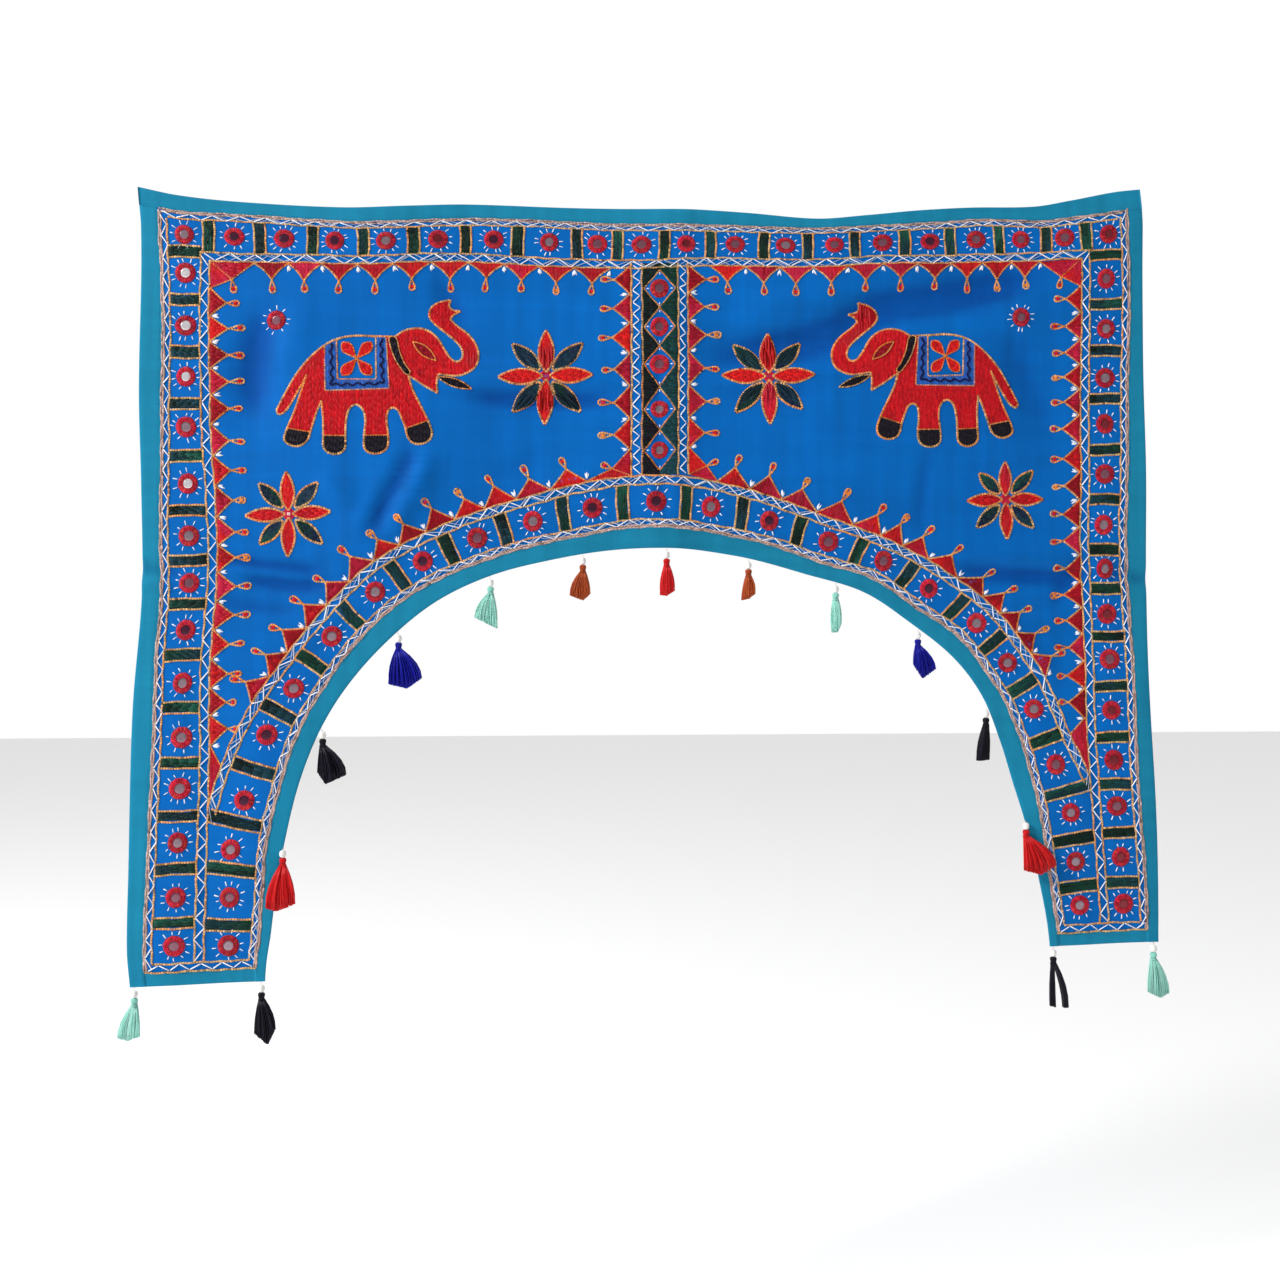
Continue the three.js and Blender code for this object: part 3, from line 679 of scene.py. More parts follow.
def zigzags():
    """White zigzags in the outer and inner lanes of every band; the finer ones cross the top and the arch."""
    outer = (LINE_SEAM + 2.6, LINE_OUTER + 0.4)
    inner = (LINE_CELL + 0.4, BAND_INNER - 0.2)
    zigzag(lane_top, -HALF + 30, HALF - 30, *outer, 17)
    zigzag(lane_top, -HALF + 84, HALF - 84, *inner, 17)
    for lane in (lane_left, lane_right):
        zigzag(lane, -32, FOOT_OUTER + 4, *outer, 14.5)
        zigzag(lane, -86, FOOT_INNER + 2, *inner, 14.5)
    zigzag(lane_arch, 0, ARCH_LENGTH, *outer, 14, above(FOOT_OUTER))
    zigzag(lane_arch, 0, ARCH_LENGTH, *inner, 13.5, lambda u, v: between_bands(u, v, 1))
    for lane, begin, end, periods in (
        (lane_top, 40 - HALF, HALF - 40, (19, 25)),
        (lane_arch, 0, ARCH_LENGTH, (16, 22)),
    ):
        for near, far in (outer, inner):
            for period in periods:
                zigzag(lane, begin, end, far, near, period, above_foot_between_bands, thin=True)
    for start, end in foot_spans(FOOT_OUTER, LINE_SEAM + 4):
        zigzag(lane_flat, start, end, FOOT_OUTER + 2, FOOT_INNER - 1, 13)
    for low, high in ((COLUMN_LEFT + 2.5, PATCH_LEFT - 2.5), (PATCH_RIGHT + 2.5, COLUMN_RIGHT - 2.5)):
        zigzag(lambda a, d: pairs(d, a), -BAND_INNER - 3, ARCH_TOP + 2, low, high, 9)


# Share of the arch at each foot where its band reaches the side band
LEG_SHARE = 0.13

# Bars between the mirrors, by their place along each edge
TOP_BARS = [-610, -542, -471, -403, -335, -264, -192, -110, -54, 11, 76, 152, 213, 281, 352, 419, 490, 558,
            616]
LEFT_BARS = [-82, -147, -219, -290, -361, -436, -503, -563, -632, -704, -778, -850, -922, -994]
RIGHT_BARS = [-91, -161, -229, -298, -371, -443, -515, -570, -639, -711, -784, -851, -920, -992]
ARCH_BARS = [
    0.0428, 0.0812, 0.1143, 0.1514, 0.1924, 0.2313, 0.2706, 0.3108, 0.3494, 0.3888, 0.4319, 0.4744, 0.5199,
    0.5608, 0.6030, 0.6483, 0.6867, 0.7285, 0.7651, 0.8026, 0.8441, 0.8837, 0.9188, 0.9545,
]


def bar(lane, middle, near, far, tilt=0.0):
    """A green bar across the band with a gold line on each long side."""
    half = BAR_HALF * rng.uniform(0.86, 1.08)
    lean = tilt + rng.uniform(-1.5, 1.5)
    bend = rng.uniform(-1.1, 1.1)
    share = np.linspace(0, 1, 12)
    d = near + (far - near) * share
    a = middle + lean * (share - 0.5) + bend * np.sin(math.pi * share)
    outline = closed_by([pairs(a - half, d), pairs(a + half, d)])
    tones = rng.permutation(len(GREENS))
    fill("green_filling", lane, outline, 90, GREENS[tones[0]], 0.2, GREENS[tones[1]] * 0.6)
    for side in (-1, 1):
        line = lane(a + side * (half + BAR_LINE_OUT), d)
        chain("gold_bar_lines", wobble(line, 0.3), 0.12)


def bars():
    """Green bars between the mirrors, longer where the arch's band meets those of the sides."""
    for lane, places in ((lane_top, TOP_BARS), (lane_left, LEFT_BARS), (lane_right, RIGHT_BARS)):
        for a in places:
            bar(lane, a, CELL_NEAR, CELL_FAR)
    for share in ARCH_BARS:
        a = share * ARCH_LENGTH
        far = CELL_FAR
        if min(share, 1 - share) < LEG_SHARE:
            reach = np.linspace(CELL_NEAR, CELL_FAR + 40, 120)
            points = lane_arch(a, reach)
            far = reach[between_bands(points[:, 0], points[:, 1], 1.5)][-1]
        bar(lane_arch, a, CELL_NEAR, far)


# Red teeth round both fields. Columns: lane, where the first base starts and where the last one ends, then
# the tips, all as places along the edge
SIDE_NOTCH_LEFT = -131
SIDE_NOTCH_RIGHT = -134
LAST_NOTCH = -757
TOP_NOTCH = 549
TOOTH_ROWS = [
    (lane_top, -TOP_NOTCH, -64, [-525, -482, -435, -386, -337, -285, -235, -187, -139, -89]),
    (lane_top, 76, TOP_NOTCH, [100, 151, 196, 246, 296, 346, 396, 443, 487, 527]),
    (lane_left, SIDE_NOTCH_LEFT, LAST_NOTCH,
     [-152, -187, -223, -260, -297, -341, -382, -423, -466, -500, -540, -579, -619, -659, -698, -734]),
    (lane_right, SIDE_NOTCH_RIGHT, LAST_NOTCH,
     [-152, -192, -230, -265, -301, -340, -383, -422, -463, -501, -541, -578, -615, -654, -694, -732]),
    (lane_column_left, -96, -361, [-117, -160, -202, -248, -295, -340]),
    (lane_column_right, -96, -360, [-117, -158, -199, -247, -295, -339]),
]
# Tips along the arch and the notches beside its crown, as shares of its length
ARCH_TEETH_LEFT = [0.1996, 0.2191, 0.2363, 0.2555, 0.2736, 0.2947, 0.3138, 0.3320, 0.3514, 0.3720, 0.3919,
                   0.4143, 0.4386]
ARCH_TEETH_RIGHT = [0.5527, 0.5753, 0.5978, 0.6243, 0.6493, 0.6651, 0.6818, 0.7032, 0.7285, 0.7452, 0.7612,
                    0.7782, 0.7964]
CROWN_NOTCHES = [0.4509, 0.5415]
# Where the bands' inner lines are read for the upper corners of the fields, and the tip of the patch there
CORNER_U = 600
CORNER_V = -95
CORNER_TIP = (578, -119)
# Patches beside the crown. Columns: u of the corner, v of the notch above it, u and v of the tip, way of
# the loop
CROWN_PATCHES = [(-36.5, -361, -61, -388, 155), (45.5, -360, 70, -386, 25)]
# Wedges above the feet. Columns: side, v of the last notch, v of the tip
WEDGES = [(-1, LAST_NOTCH, -783), (1, LAST_NOTCH + 3, -775)]
ARCH_TOOTH_HALF = 17
ARCH_LOOP_LEAN = 0.3


def loop(tip, direction, scale=1.0):
    """Small gold loop with a red core, from the tip of a tooth."""
    long = LOOP_LONG * scale * rng.uniform(0.85, 1.12)
    wide = LOOP_WIDE * rng.uniform(0.85, 1.12)
    turn = np.linspace(0, 2 * math.pi, 26)
    across = wide / 2 * np.sin(turn) * np.sin(turn / 2) ** 2.2 * 1.28
    along = long * (1 - np.cos(turn)) / 2
    way = way_at(direction)
    left = left_of(way)
    path = np.asarray(tip) + along[:, None] * way + across[:, None] * left
    chain("gold_tooth_lines", path, 0.5, 2.8, 0.8)
    core = np.asarray(tip) + way * long * 0.5
    tone = REDS[1] if rng.uniform() < 0.85 else ORANGE
    starts = core + left * np.array([[-1.3], [1.3]])
    sew("red_filling", THREAD, starts, starts + way * long * 0.36, 1.5, 0.8, shaded(tone, 2))


def leaf_stitch(at, direction):
    """White leaf-shaped stitches fanned out in the notch between two teeth."""
    way = way_at(direction + np.array([-0.24, 0.02, 0.26]) + rng.uniform(-0.08, 0.08, 3))
    long = rng.uniform(7, 11, (3, 1))
    starts = np.asarray(at) + way * 0.6
    sizes = rng.uniform(1.0, 1.5, 3)
    lifts = FRONT + np.array([0, 0.25, 0.1])
    sew("white_stitches", LEAF, starts, starts + way * long, sizes, 1.1, shaded(WHITE, 3, 0.05), lift=lifts)


def tooth_side(start, tip, hollow):
    """One slanted side, drawn in a little between the base and the tip."""
    start, tip = np.asarray(start, float), np.asarray(tip, float)
    middle = (start + tip) / 2 + (np.array([tip[0], start[1]]) - (start + tip) / 2) * hollow
    return smooth([start, middle, tip])


def heading(path):
    """Angle of the line from the first flat point to the second."""
    return math.atan2(*(path[1] - path[0])[::-1])


def tooth(lane, middle, low, high, lean, loop_scale):
    """A red tooth on the band's inner line, with a gold loop at its tip."""
    tip_d = TOOTH_TIP + rng.uniform(-2, 2.5)
    tip = (middle, tip_d)
    hollow = 0.12 if lane is lane_top else 0.04
    sides = [tooth_side((low, TOOTH_BASE), tip, hollow), tooth_side((high, TOOTH_BASE), tip, hollow)]
    tone, second = REDS[rng.integers(4)], REDS[rng.integers(4)]
    fill("red_filling", lane, closed_by(sides), 90, tone, 0.12, second)
    for side in sides:
        chain("gold_tooth_lines", in_lane(lane, side), 0.45, 3.0)
    flat_tip = in_lane(lane, [tip, (middle, tip_d + 5)])
    loop(flat_tip[0], heading(flat_tip) + lean + rng.uniform(-0.12, 0.12), loop_scale)
    notch = in_lane(lane, [(high, TOOTH_BASE + 2.5), (high, TOOTH_BASE + 8)])
    leaf_stitch(notch[0], heading(notch) + rng.uniform(-0.35, 0.35))


# Below this v the side bands and the arch leave less room for the loops, which are smaller there
LOW_LOOPS = -690
LOW_LOOP_SIZE = 0.72


def row_of_teeth(lane, places, first, last, lean=0.0):
    """Teeth whose bases meet half way between their tips; first and last are the outer ends."""
    edges = [first, *((a + b) / 2 for a, b in zip(places[:-1], places[1:])), last]
    for middle, low, high in zip(places, edges[:-1], edges[1:]):
        tooth(lane, middle, low, high, lean, LOW_LOOP_SIZE if middle < LOW_LOOPS else 1.0)


def corner_patch(corner, low, tip, high, direction):
    """Two teeth that share their tip in a corner, parted by a gold line."""
    tone = REDS[rng.integers(4)]
    fill("red_filling", lane_flat, straight([corner, low, tip]), 70, tone, 0.1, REDS[1])
    fill("red_filling", lane_flat, straight([corner, tip, high]), 20, REDS[0], 0.1, REDS[2])
    for path in ([low, tip], [high, tip], [corner, tip]):
        chain("gold_tooth_lines", straight(path), 0.65, 2.3)
    loop(tip, math.radians(direction))


def wedge(side, notch, tip_v):
    """Long red sliver where the side band and the arch's band come together."""
    arch = arch_line(TOOTH_BASE, lambda u, v: between_bands(u, v, 1.5))
    arch = arch[::-1] if side > 0 else arch
    arch = arch[(arch[:, 0] * side > 0) & (arch[:, 1] < tip_v)]
    lane = lane_left if side < 0 else lane_right
    down = np.linspace(arch[0][1], notch, 20)
    top = straight([tuple(lane(notch, TOOTH_BASE)), tuple(arch[-1])])
    outline = np.concatenate([arch, top[::-1], lane(down, TOOTH_BASE)[::-1]])
    fill("red_filling", lane_flat, outline, 90, REDS[2], 0.12, REDS[0])
    chain("gold_tooth_lines", top, 0.5, 2.4)


def teeth():
    """Rows of teeth round both fields, with patches in their corners and a wedge at each foot."""
    for lane, first, last, places in TOOTH_ROWS:
        row_of_teeth(lane, places, first, last)
    left, right = ([share * ARCH_LENGTH for share in row] for row in (ARCH_TEETH_LEFT, ARCH_TEETH_RIGHT))
    crown = [share * ARCH_LENGTH for share in CROWN_NOTCHES]
    row_of_teeth(lane_arch, left, left[0] - ARCH_TOOTH_HALF, crown[0], ARCH_LOOP_LEAN)
    row_of_teeth(lane_arch, right, crown[1], right[-1] + ARCH_TOOTH_HALF, -ARCH_LOOP_LEAN)
    for side, lane, notch in ((-1, lane_left, SIDE_NOTCH_LEFT), (1, lane_right, SIDE_NOTCH_RIGHT)):
        corner_u, corner_v = lane(CORNER_V, TOOTH_BASE)[0], lane_top(side * CORNER_U, TOOTH_BASE)[1]
        low, high = (corner_u, notch), (side * TOP_NOTCH, corner_v)
        corner_patch((corner_u, corner_v), low, (side * CORNER_TIP[0], CORNER_TIP[1]), high, -90 - side * 10)
    for (u, notch, tip_u, tip_v, direction), a in zip(CROWN_PATCHES, crown):
        ends = [lane_arch(a, TOOTH_BASE), (u, notch)]
        low, high = ends if u < 0 else ends[::-1]
        corner_patch((u, ARCH_TOP + 1), low, (tip_u, tip_v), high, direction)
    for side, notch, tip_v in WEDGES:
        wedge(side, notch, tip_v)


# Mirrors of the top band: first u, pitch and count. Columns of the shifts: number of the mirror, shift
MIRROR_ROW = [-642, 67.9, 20]
MIRROR_SHIFT = [(0, 0), (2, -3), (5, 1), (7, 18), (8, 17), (10, 5), (12, 9), (16, 12), (19, 0)]
# Places of the others along their edges
LEFT_MIRRORS = [-111, -183, -253, -322, -399, -470, -534, -598, -670, -744, -813, -886, -960, -1026]
RIGHT_MIRRORS = [-125, -197, -268, -334, -406, -479, -542, -607, -672, -745, -816, -882, -955, -1023]
ARCH_MIRRORS = [
    0.1757, 0.2109, 0.2525, 0.2926, 0.3300, 0.3700, 0.4100, 0.4525, 0.4982, 0.5382, 0.5808, 0.6253, 0.6671,
    0.7051, 0.7472, 0.7832, 0.8212,
]
COLUMN_MIRRORS = [-131, -187, -241, -305, -363]
# Columns: u, v, kind of glass
LEG_MIRRORS = [
    (-551, -832, "dark"), (-568, -898, "grey"), (-568, -963, "mauve"), (-569, -1029, "grey"),
    (559, -820, "mauve"), (577, -889, "grey"), (582, -959, "grey"), (587, -1022, "grey"),
]
LONE_MIRRORS = [(-518, -176, "mauve"), (519, -178, "mauve")]
# Glass of the left column from its top, and the numbers of the red ones in the right column
LEFT_GLASS = ["bright", "bright", "bright", "grey", "bright", "grey", "mauve", "dark", "grey", "grey", "grey",
              "grey", "mauve", "mauve"]
RED_ON_THE_RIGHT = (3, 7, 9, 10, 12, 13)
# Sizes and counts on one mirror
RING_OUTER = 14.2
RING_INNER = 6.6
RING_PITCH = 3.2
RAY_COUNT = 28
DASH_COUNT = 11
GLASS_SIDES = 20

glass = {}


def sewn_mirror(piece, u, v, kind, size=1.0, dashed=True):
    """A round mirror held by a crimson ring, with white dashes round it."""
    middle = np.array([u, v], float)
    shape = size * np.array([rng.uniform(0.88, 1.02), rng.uniform(0.95, 1.05)])
    glass.setdefault(piece, []).append((u, v, (RING_INNER + 1.2) * shape, GLASS[kind]))
    turn = rng.uniform(0, 0.2)
    way = circle(RAY_COUNT, turn) * shape
    inner = RING_INNER * rng.uniform(0.88, 1.1, (RAY_COUNT, 1))
    outer = RING_OUTER * rng.uniform(0.88, 1.06, (RAY_COUNT, 1))
    tone = CRIMSON * rng.uniform(0.8, 1.1)
    worn = rng.uniform(0, 0.8, (RAY_COUNT, 1)) ** 2
    tints = shaded(tone * (1 - worn) + RUST_RED * worn, RAY_COUNT, 0.2)
    sew(piece, RAY, middle + way * inner, middle + way * outer, 1.6 * size, 1.3, tints, lift=FRONT + 0.4)
    for radius, width, lift in ((RING_OUTER * 0.93, 1.9, 0.2), (RING_INNER * 1.16, 1.5, 1.2)):
        marks, _ = marks_along(middle + radius * circle(41, turn, closed=True) * shape, RING_PITCH)
        step = np.diff(marks, axis=0)
        tints = shaded(tone * 0.9, len(step), 0.15)
        sew(piece, THREAD, marks[:-1] - 0.2 * step, marks[1:], width / 2, 0.7, tints, lift=FRONT + lift)
    if dashed:
        white_dashes(middle, shape)


def white_dashes(middle, shape):
    """Short white stitches that stand out all round a mirror."""
    count = DASH_COUNT + rng.integers(-1, 2)
    way = way_at(2 * math.pi * np.arange(count) / count + rng.uniform(0, 1) + rng.uniform(-0.12, 0.12, count))
    start = RING_OUTER * shape + 1.2 + rng.uniform(-0.8, 0.9, (count, 1))
    long = rng.uniform(4.2, 7.2, (count, 1))
    skew = left_of(way) * rng.uniform(-1.6, 1.6, (count, 1))
    sizes = rng.uniform(0.65, 0.95, count)
    sew("white_stitches", THREAD, middle + way * start, middle + way * (start + long) + skew, sizes, 0.8,
        shaded(WHITE, count, 0.05))


def diamond(v, high, low):
    """Gold diamond round a mirror of the middle column, with white dots in its corners."""
    corners = [(PATCH_MIDDLE, high), (PATCH_RIGHT - 3, v), (PATCH_MIDDLE, low), (PATCH_LEFT + 3, v)]
    closed = straight([*corners, corners[0]])
    chain("gold_inner_lines", wobble(closed, 0.3), 0.6, 2.3)
    for (u0, v0), inwards in zip(corners, ((0, -1), (-1, 0), (0, 1), (1, 0))):
        start = np.array([u0, v0]) + np.array(inwards) * 3.2
        sew("white_stitches", LEAF, start, start + np.array(inwards) * 4.5, 1.0, 0.9, WHITE)


def middle_column():
    """Black and green fillings on both sides of a column of diamonds, each with a mirror in it."""
    halves = [(a + b) / 2 for a, b in zip(COLUMN_MIRRORS[:-1], COLUMN_MIRRORS[1:])]
    edges = [COLUMN_MIRRORS[0] + 28, *halves, COLUMN_MIRRORS[-1] - 29]
    top, bottom = -BAND_INNER - 1.5, ARCH_TOP + 1
    # None stands for the side corner of a diamond
    zigzag_line = [(PATCH_MIDDLE, top)]
    for high, v in zip(edges[:-1], COLUMN_MIRRORS):
        zigzag_line += [(PATCH_MIDDLE, high), (None, v)]
    zigzag_line += [(PATCH_MIDDLE, edges[-1]), (PATCH_MIDDLE, bottom)]
    for side, outer, corner, piece, tone, second in (
        (-1, PATCH_LEFT, PATCH_LEFT + 3, "black_filling", BLACK, GREENS[3]),
        (1, PATCH_RIGHT, PATCH_RIGHT - 3, "green_filling", GREENS[1], GREENS[2]),
    ):
        inner = [(corner if u is None else u - side * 0.2, v) for u, v in zigzag_line]
        outline = [(outer, top), *inner, (outer, bottom)]
        fill(piece, lane_flat, outline, 0, tone, 0.18, second)
    for i, v in enumerate(COLUMN_MIRRORS):
        diamond(v, edges[i], edges[i + 1])
        size = 0.99 if i < 3 else 0.87
        sewn_mirror("mirrors_middle", PATCH_MIDDLE - 0.5, v, "mauve" if i < 3 else "grey", size, dashed=False)


def all_mirrors():
    """Every mirror outside the middle column."""
    start, pitch, count = MIRROR_ROW
    shifts = curve_through(MIRROR_SHIFT, 1, np.arange(count))
    for i in range(count):
        kind = rng.choice(["grey", "mauve", "mauve", "dark", "red"])
        u, v = lane_top(start + i * pitch + shifts[i], MIRROR_DOWN)
        sewn_mirror(f"sewn_mirror_top_{i + 1:02}", u, v, kind)
    for i, (u, v, kind) in enumerate(LONE_MIRRORS):
        sewn_mirror(f"sewn_mirror_lone_{i + 1}", u, v, kind)
    for v, kind in zip(LEFT_MIRRORS, LEFT_GLASS):
        sewn_mirror("mirrors_left", lane_left(v, 60)[0], v, kind)
    for i, v in enumerate(RIGHT_MIRRORS):
        kind = "red" if i in RED_ON_THE_RIGHT else rng.choice(["grey", "mauve"])
        sewn_mirror("mirrors_right", lane_right(v, 59)[0], v, kind)
    for share in ARCH_MIRRORS:
        u, v = lane_arch(share * ARCH_LENGTH, 59)
        sewn_mirror("mirrors_arch", u, v, rng.choice(["grey", "grey", "mauve", "dark"]))
    for u, v, kind in LEG_MIRRORS:
        sewn_mirror("mirrors_legs", u, v, kind)


# Flowers. Columns: u, v, radius, pale dot in the middle
FLOWERS = [(-152, -257, 66, False), (158, -260, 66, False), (-503, -443, 57, True), (494, -440, 55, False)]
# Width of a petal on a flower of the full radius
PETAL_WIDTH = 21
FLOWER_RADIUS = 66


def petal(middle, angle, near, far, width, piece, tone, second):
    """One pointed petal with rows of floss along it and a gold outline."""
    way = way_at(math.radians(angle))
    sides = leaf_sides(middle + near * way, way, far - near, width, point=0.92, fullness=0.86)
    fill(piece, lane_flat, closed_by(sides), angle, tone, 0.12, second)
    for side in sides:
        chain("gold_motif_lines", side, 0.32, MOTIF_LINE)


def flowers():
    """Eight petals round a small core, red and green in turn."""
    for u, v, radius, dotted in FLOWERS:
        middle = np.array([u, v], float)
        width = PETAL_WIDTH * radius / FLOWER_RADIUS
        for k in range(8):
            angle = 45 * k + rng.uniform(-3, 3)
            far = radius * rng.uniform(0.96, 1.04)
            if k % 2 == 0:
                petal(middle, angle, 5, far, width, "red_filling", REDS[rng.integers(3)], REDS[1])
            else:
                green = GREENS[rng.integers(3)]
                petal(middle, angle, 12, far * 1.03, width, "green_filling", green, LEAF_NAVY)
        fill("red_filling", lane_flat, middle + 7.5 * circle(18, closed=True), 45, REDS[2], 0.1)
        if dotted:
            starts = middle + np.array([[-1, -2.6], [0.8, -2.6]])
            tints = shaded(PINK, 2, 0.03)
            sew("white_stitches", LEAF, starts, starts + (0, 5.5), 1.7, 1.5, tints, lift=FRONT + 0.4)


# Elephant facing +x, millimetres from the middle of its body. Each list is one smooth stretch of a line.
BACK = [(-141, -48), (-129, -25), (-113, 2), (-95, 24), (-75, 42), (-56, 52), (-34, 56), (-6, 55), (21, 54)]
HEAD = [(21, 54), (35, 63), (52, 66), (67, 62), (80, 51), (90, 34), (99, 21), (108, 17), (115, 24), (113, 37),
        (103, 49), (89, 61), (75, 73), (68, 84), (71, 96), (82, 104), (97, 108)]
TRUNK_TIP = [(97, 108), (95, 99), (100, 93), (111, 91)]
TRUNK_LIP = [(111, 91), (101, 86), (97, 79)]
TRUNK = [(97, 79), (107, 69), (122, 57), (133, 42), (137, 25), (133, 10), (122, 1), (108, -3), (94, -2),
         (81, 0)]
CHIN = [(81, 0), (79, -13), (80, -27)]
JAW = [(80, -27), (63, -17), (50, -8), (40, -2)]
LEG_FRONT = [
    (40, -2), (46, -22), (57, -45), (66, -64), (72, -82), (69, -93), (58, -99), (45, -97), (38, -87),
    (36, -76), (30, -60), (26, -51), (19, -47), (12, -52), (10, -66), (12, -88), (10, -104), (0, -111),
    (-12, -111), (-21, -104), (-21, -86), (-19, -66), (-22, -50), (-32, -42), (-42, -50), (-46, -68),
    (-47, -88), (-48, -104), (-57, -111), (-69, -110), (-77, -102), (-77, -84), (-77, -60), (-79, -36),
]
LEG_BACK = [
    (-79, -36), (-86, -53), (-93, -74), (-99, -91), (-110, -99), (-122, -98), (-131, -90), (-127, -75),
    (-116, -50), (-107, -24), (-99, 1),
]
TAIL = [(-99, 1), (-110, -20), (-124, -44), (-133, -53), (-139, -54), (-141, -48)]
BODY = [BACK, HEAD, TRUNK_TIP, TRUNK_LIP, TRUNK, CHIN, JAW, LEG_FRONT, LEG_BACK, TAIL]
SADDLE = [(-75, 41), (-74, -22), (14, -20), (9, 53)]
SADDLE_INNER = [(-59, 50), (-57, -6), (-4, -7), (-5, 54)]
SADDLE_WAVE = [(-66, 44), (-65, -14), (5, -13), (2, 52)]
NECK_BAND = [(13, 52), (23, 52), (28, 32), (35, 15), (43, 3), (38, -1), (28, 11), (19, 28)]
# Leaf-shaped patches: length, width, middle, turn
EAR = (42, 13, (62, 33), -40)
TUSK = (50, 11, (104, -13), -20)
# Where the red of the legs gives way to the black of the hooves. Columns: across, up
HOOF_LEVEL = [(-131, -73), (-95, -80), (-77, -85), (-47, -86), (-20, -86), (12, -86), (36, -77), (72, -64)]
HOOF_LINES = [
    ((-126, -74), (-95, -80)), ((-77, -85), (-47, -86)), ((-20, -86), (12, -86)), ((36, -77), (67, -66)),
]
CROSS_MIDDLE = (-31, 23)
CROSS_REACH = 33
CROSS_WIDE = 16
CROSS_SQUEEZE = 0.86
WAVE_HIGH = 2.4
WAVE_LONG = 15
# Columns: u, v of the body's middle, facing, size
ELEPHANTS = [(-379, -253, 1, 0.98), (379, -256, -1, 0.965)]
MOTIF_LINE = 3.6
SHORTEST_STITCH = 0.8
STITCH_SPARE = 0.04


def body_filling(outline, middle, facing, size):
    """Upright rows of floss, red down to the tops of the hooves and black below."""
    across, level = np.array(HOOF_LEVEL, float).T
    halves = [[], []]
    for length in (FILL_LENGTH, UNDERLAY_LENGTH):
        starts, ends = rows_inside(outline, 90, FILL_PITCH, length)
        parting = middle[1] + size * np.interp((starts[:, 0] - middle[0]) * facing / size, across, level)
        low, high = np.minimum(starts[:, 1], ends[:, 1]), np.maximum(starts[:, 1], ends[:, 1])
        spare = length * STITCH_SPARE
        for half, bottom, top in ((0, np.maximum(low, parting), high), (1, low, np.minimum(high, parting))):
            kept = top - bottom > SHORTEST_STITCH
            x = starts[kept, 0]
            halves[half].append((pairs(x, bottom[kept] - spare), pairs(x, top[kept] + spare)))
    for piece, tone, half in (("red_filling", ELEPHANT_RED, 0), ("black_filling", BLACK, 1)):
        (starts, ends), rows = halves[half]
        lay_floss(piece, starts, ends, shaded(tone, len(starts), 0.15), rows)


def saddle_cloth(at, facing):
    """Pale blue border with a navy wave on it, and four red clubs in a cross."""
    for line in (SADDLE, SADDLE_INNER):
        chain("gold_motif_lines", at(straight(line)), 0.3, 2.7)
    path, run = marks_along(straight(SADDLE_WAVE, 1), 1.5)
    wave = path + sideways(path) * (WAVE_HIGH * np.sin(run * 2 * math.pi / WAVE_LONG))[:, None]
    border = at(closed_by([straight(SADDLE), straight(SADDLE_INNER)]))
    fill("blue_filling", lane_flat, border, 90, PALE_BLUE, 0.14)
    chain("navy_wave", at(wave), tint=NAVY, width=3.6, height=1.2, lift=0.6)
    for angle in (45, 135, 225, 315):
        way = way_at(math.radians(angle)) * (CROSS_SQUEEZE, 1)
        sides = [at(side) for side in leaf_sides(CROSS_MIDDLE, way, CROSS_REACH, CROSS_WIDE, 12, 1.7, 0.8)]
        fill("red_filling", lane_flat, closed_by(sides), angle if facing > 0 else 180 - angle, REDS[1], 0.1)
        for side in sides:
            chain("gold_motif_lines", side, 0.65, 2.0)


def leaf_patch(at, facing, leaf, piece, tone, spread, warm, width, lifts):
    """A leaf-shaped patch, such as an ear or a tusk. lifts are those of the floss and of the gold line."""
    long, wide, middle, turn = leaf
    way = way_at(math.radians(turn))
    outline = at(closed_by(leaf_sides(middle - way * long / 2, way, long, wide)))
    fill(piece, lane_flat, outline, turn * facing, tone, spread, lift=lifts[0])
    chain("gold_motif_lines", np.concatenate([outline, outline[:1]]), warm, width, lift=lifts[1])


def elephant(u, v, facing, size):
    """An elephant in profile: filled body, gold lines, saddle cloth, neck band, ear and tusk."""
    middle = np.array([u, v], float)

    def at(points):
        return middle + np.asarray(points, float) * (facing * size, size)

    stretches = [smooth(stretch) for stretch in BODY]
    back, *others = stretches
    behind, before = back[back[:, 0] < SADDLE[0][0]], back[back[:, 0] > SADDLE[-1][0]]
    body_filling(at(np.concatenate([behind, straight(SADDLE), before, *others])), middle, facing, size)
    for stretch in stretches:
        chain("gold_motif_lines", at(stretch), 0.35, MOTIF_LINE)
    for line in HOOF_LINES:
        chain("gold_motif_lines", at(straight(line)), 0.6, 2.4)
    saddle_cloth(at, facing)
    neck_band = at(smooth(NECK_BAND, closed=True))
    fill("black_filling", lane_flat, neck_band, 110, BLACK, 0.2, lift=0.6)
    chain("gold_motif_lines", neck_band, 0.4, 2.0, lift=0.8)
    leaf_patch(at, facing, EAR, "dark_red_filling", REDS[3], 0.1, 0.75, 2.2, (0.5, 0.8))
    leaf_patch(at, facing, TUSK, "black_filling", BLACK, 0.2, 0.3, 2.1, (0.0, 0.0))


# Materials
def new_material(name):
    material = bpy.data.materials.new(name)
    material.use_nodes = True
    tree = material.node_tree
    return material, tree.nodes, tree.links, tree.nodes["Principled BSDF"]


def set_sockets(node, values):
    """Sets unlinked inputs by their names."""
    for socket, value in values.items():
        node.inputs[socket].default_value = value


def attribute(nodes, name):
    """What the mesh carries at its points under a name."""
    node = nodes.new("ShaderNodeAttribute")
    node.attribute_name = name
    return node.outputs


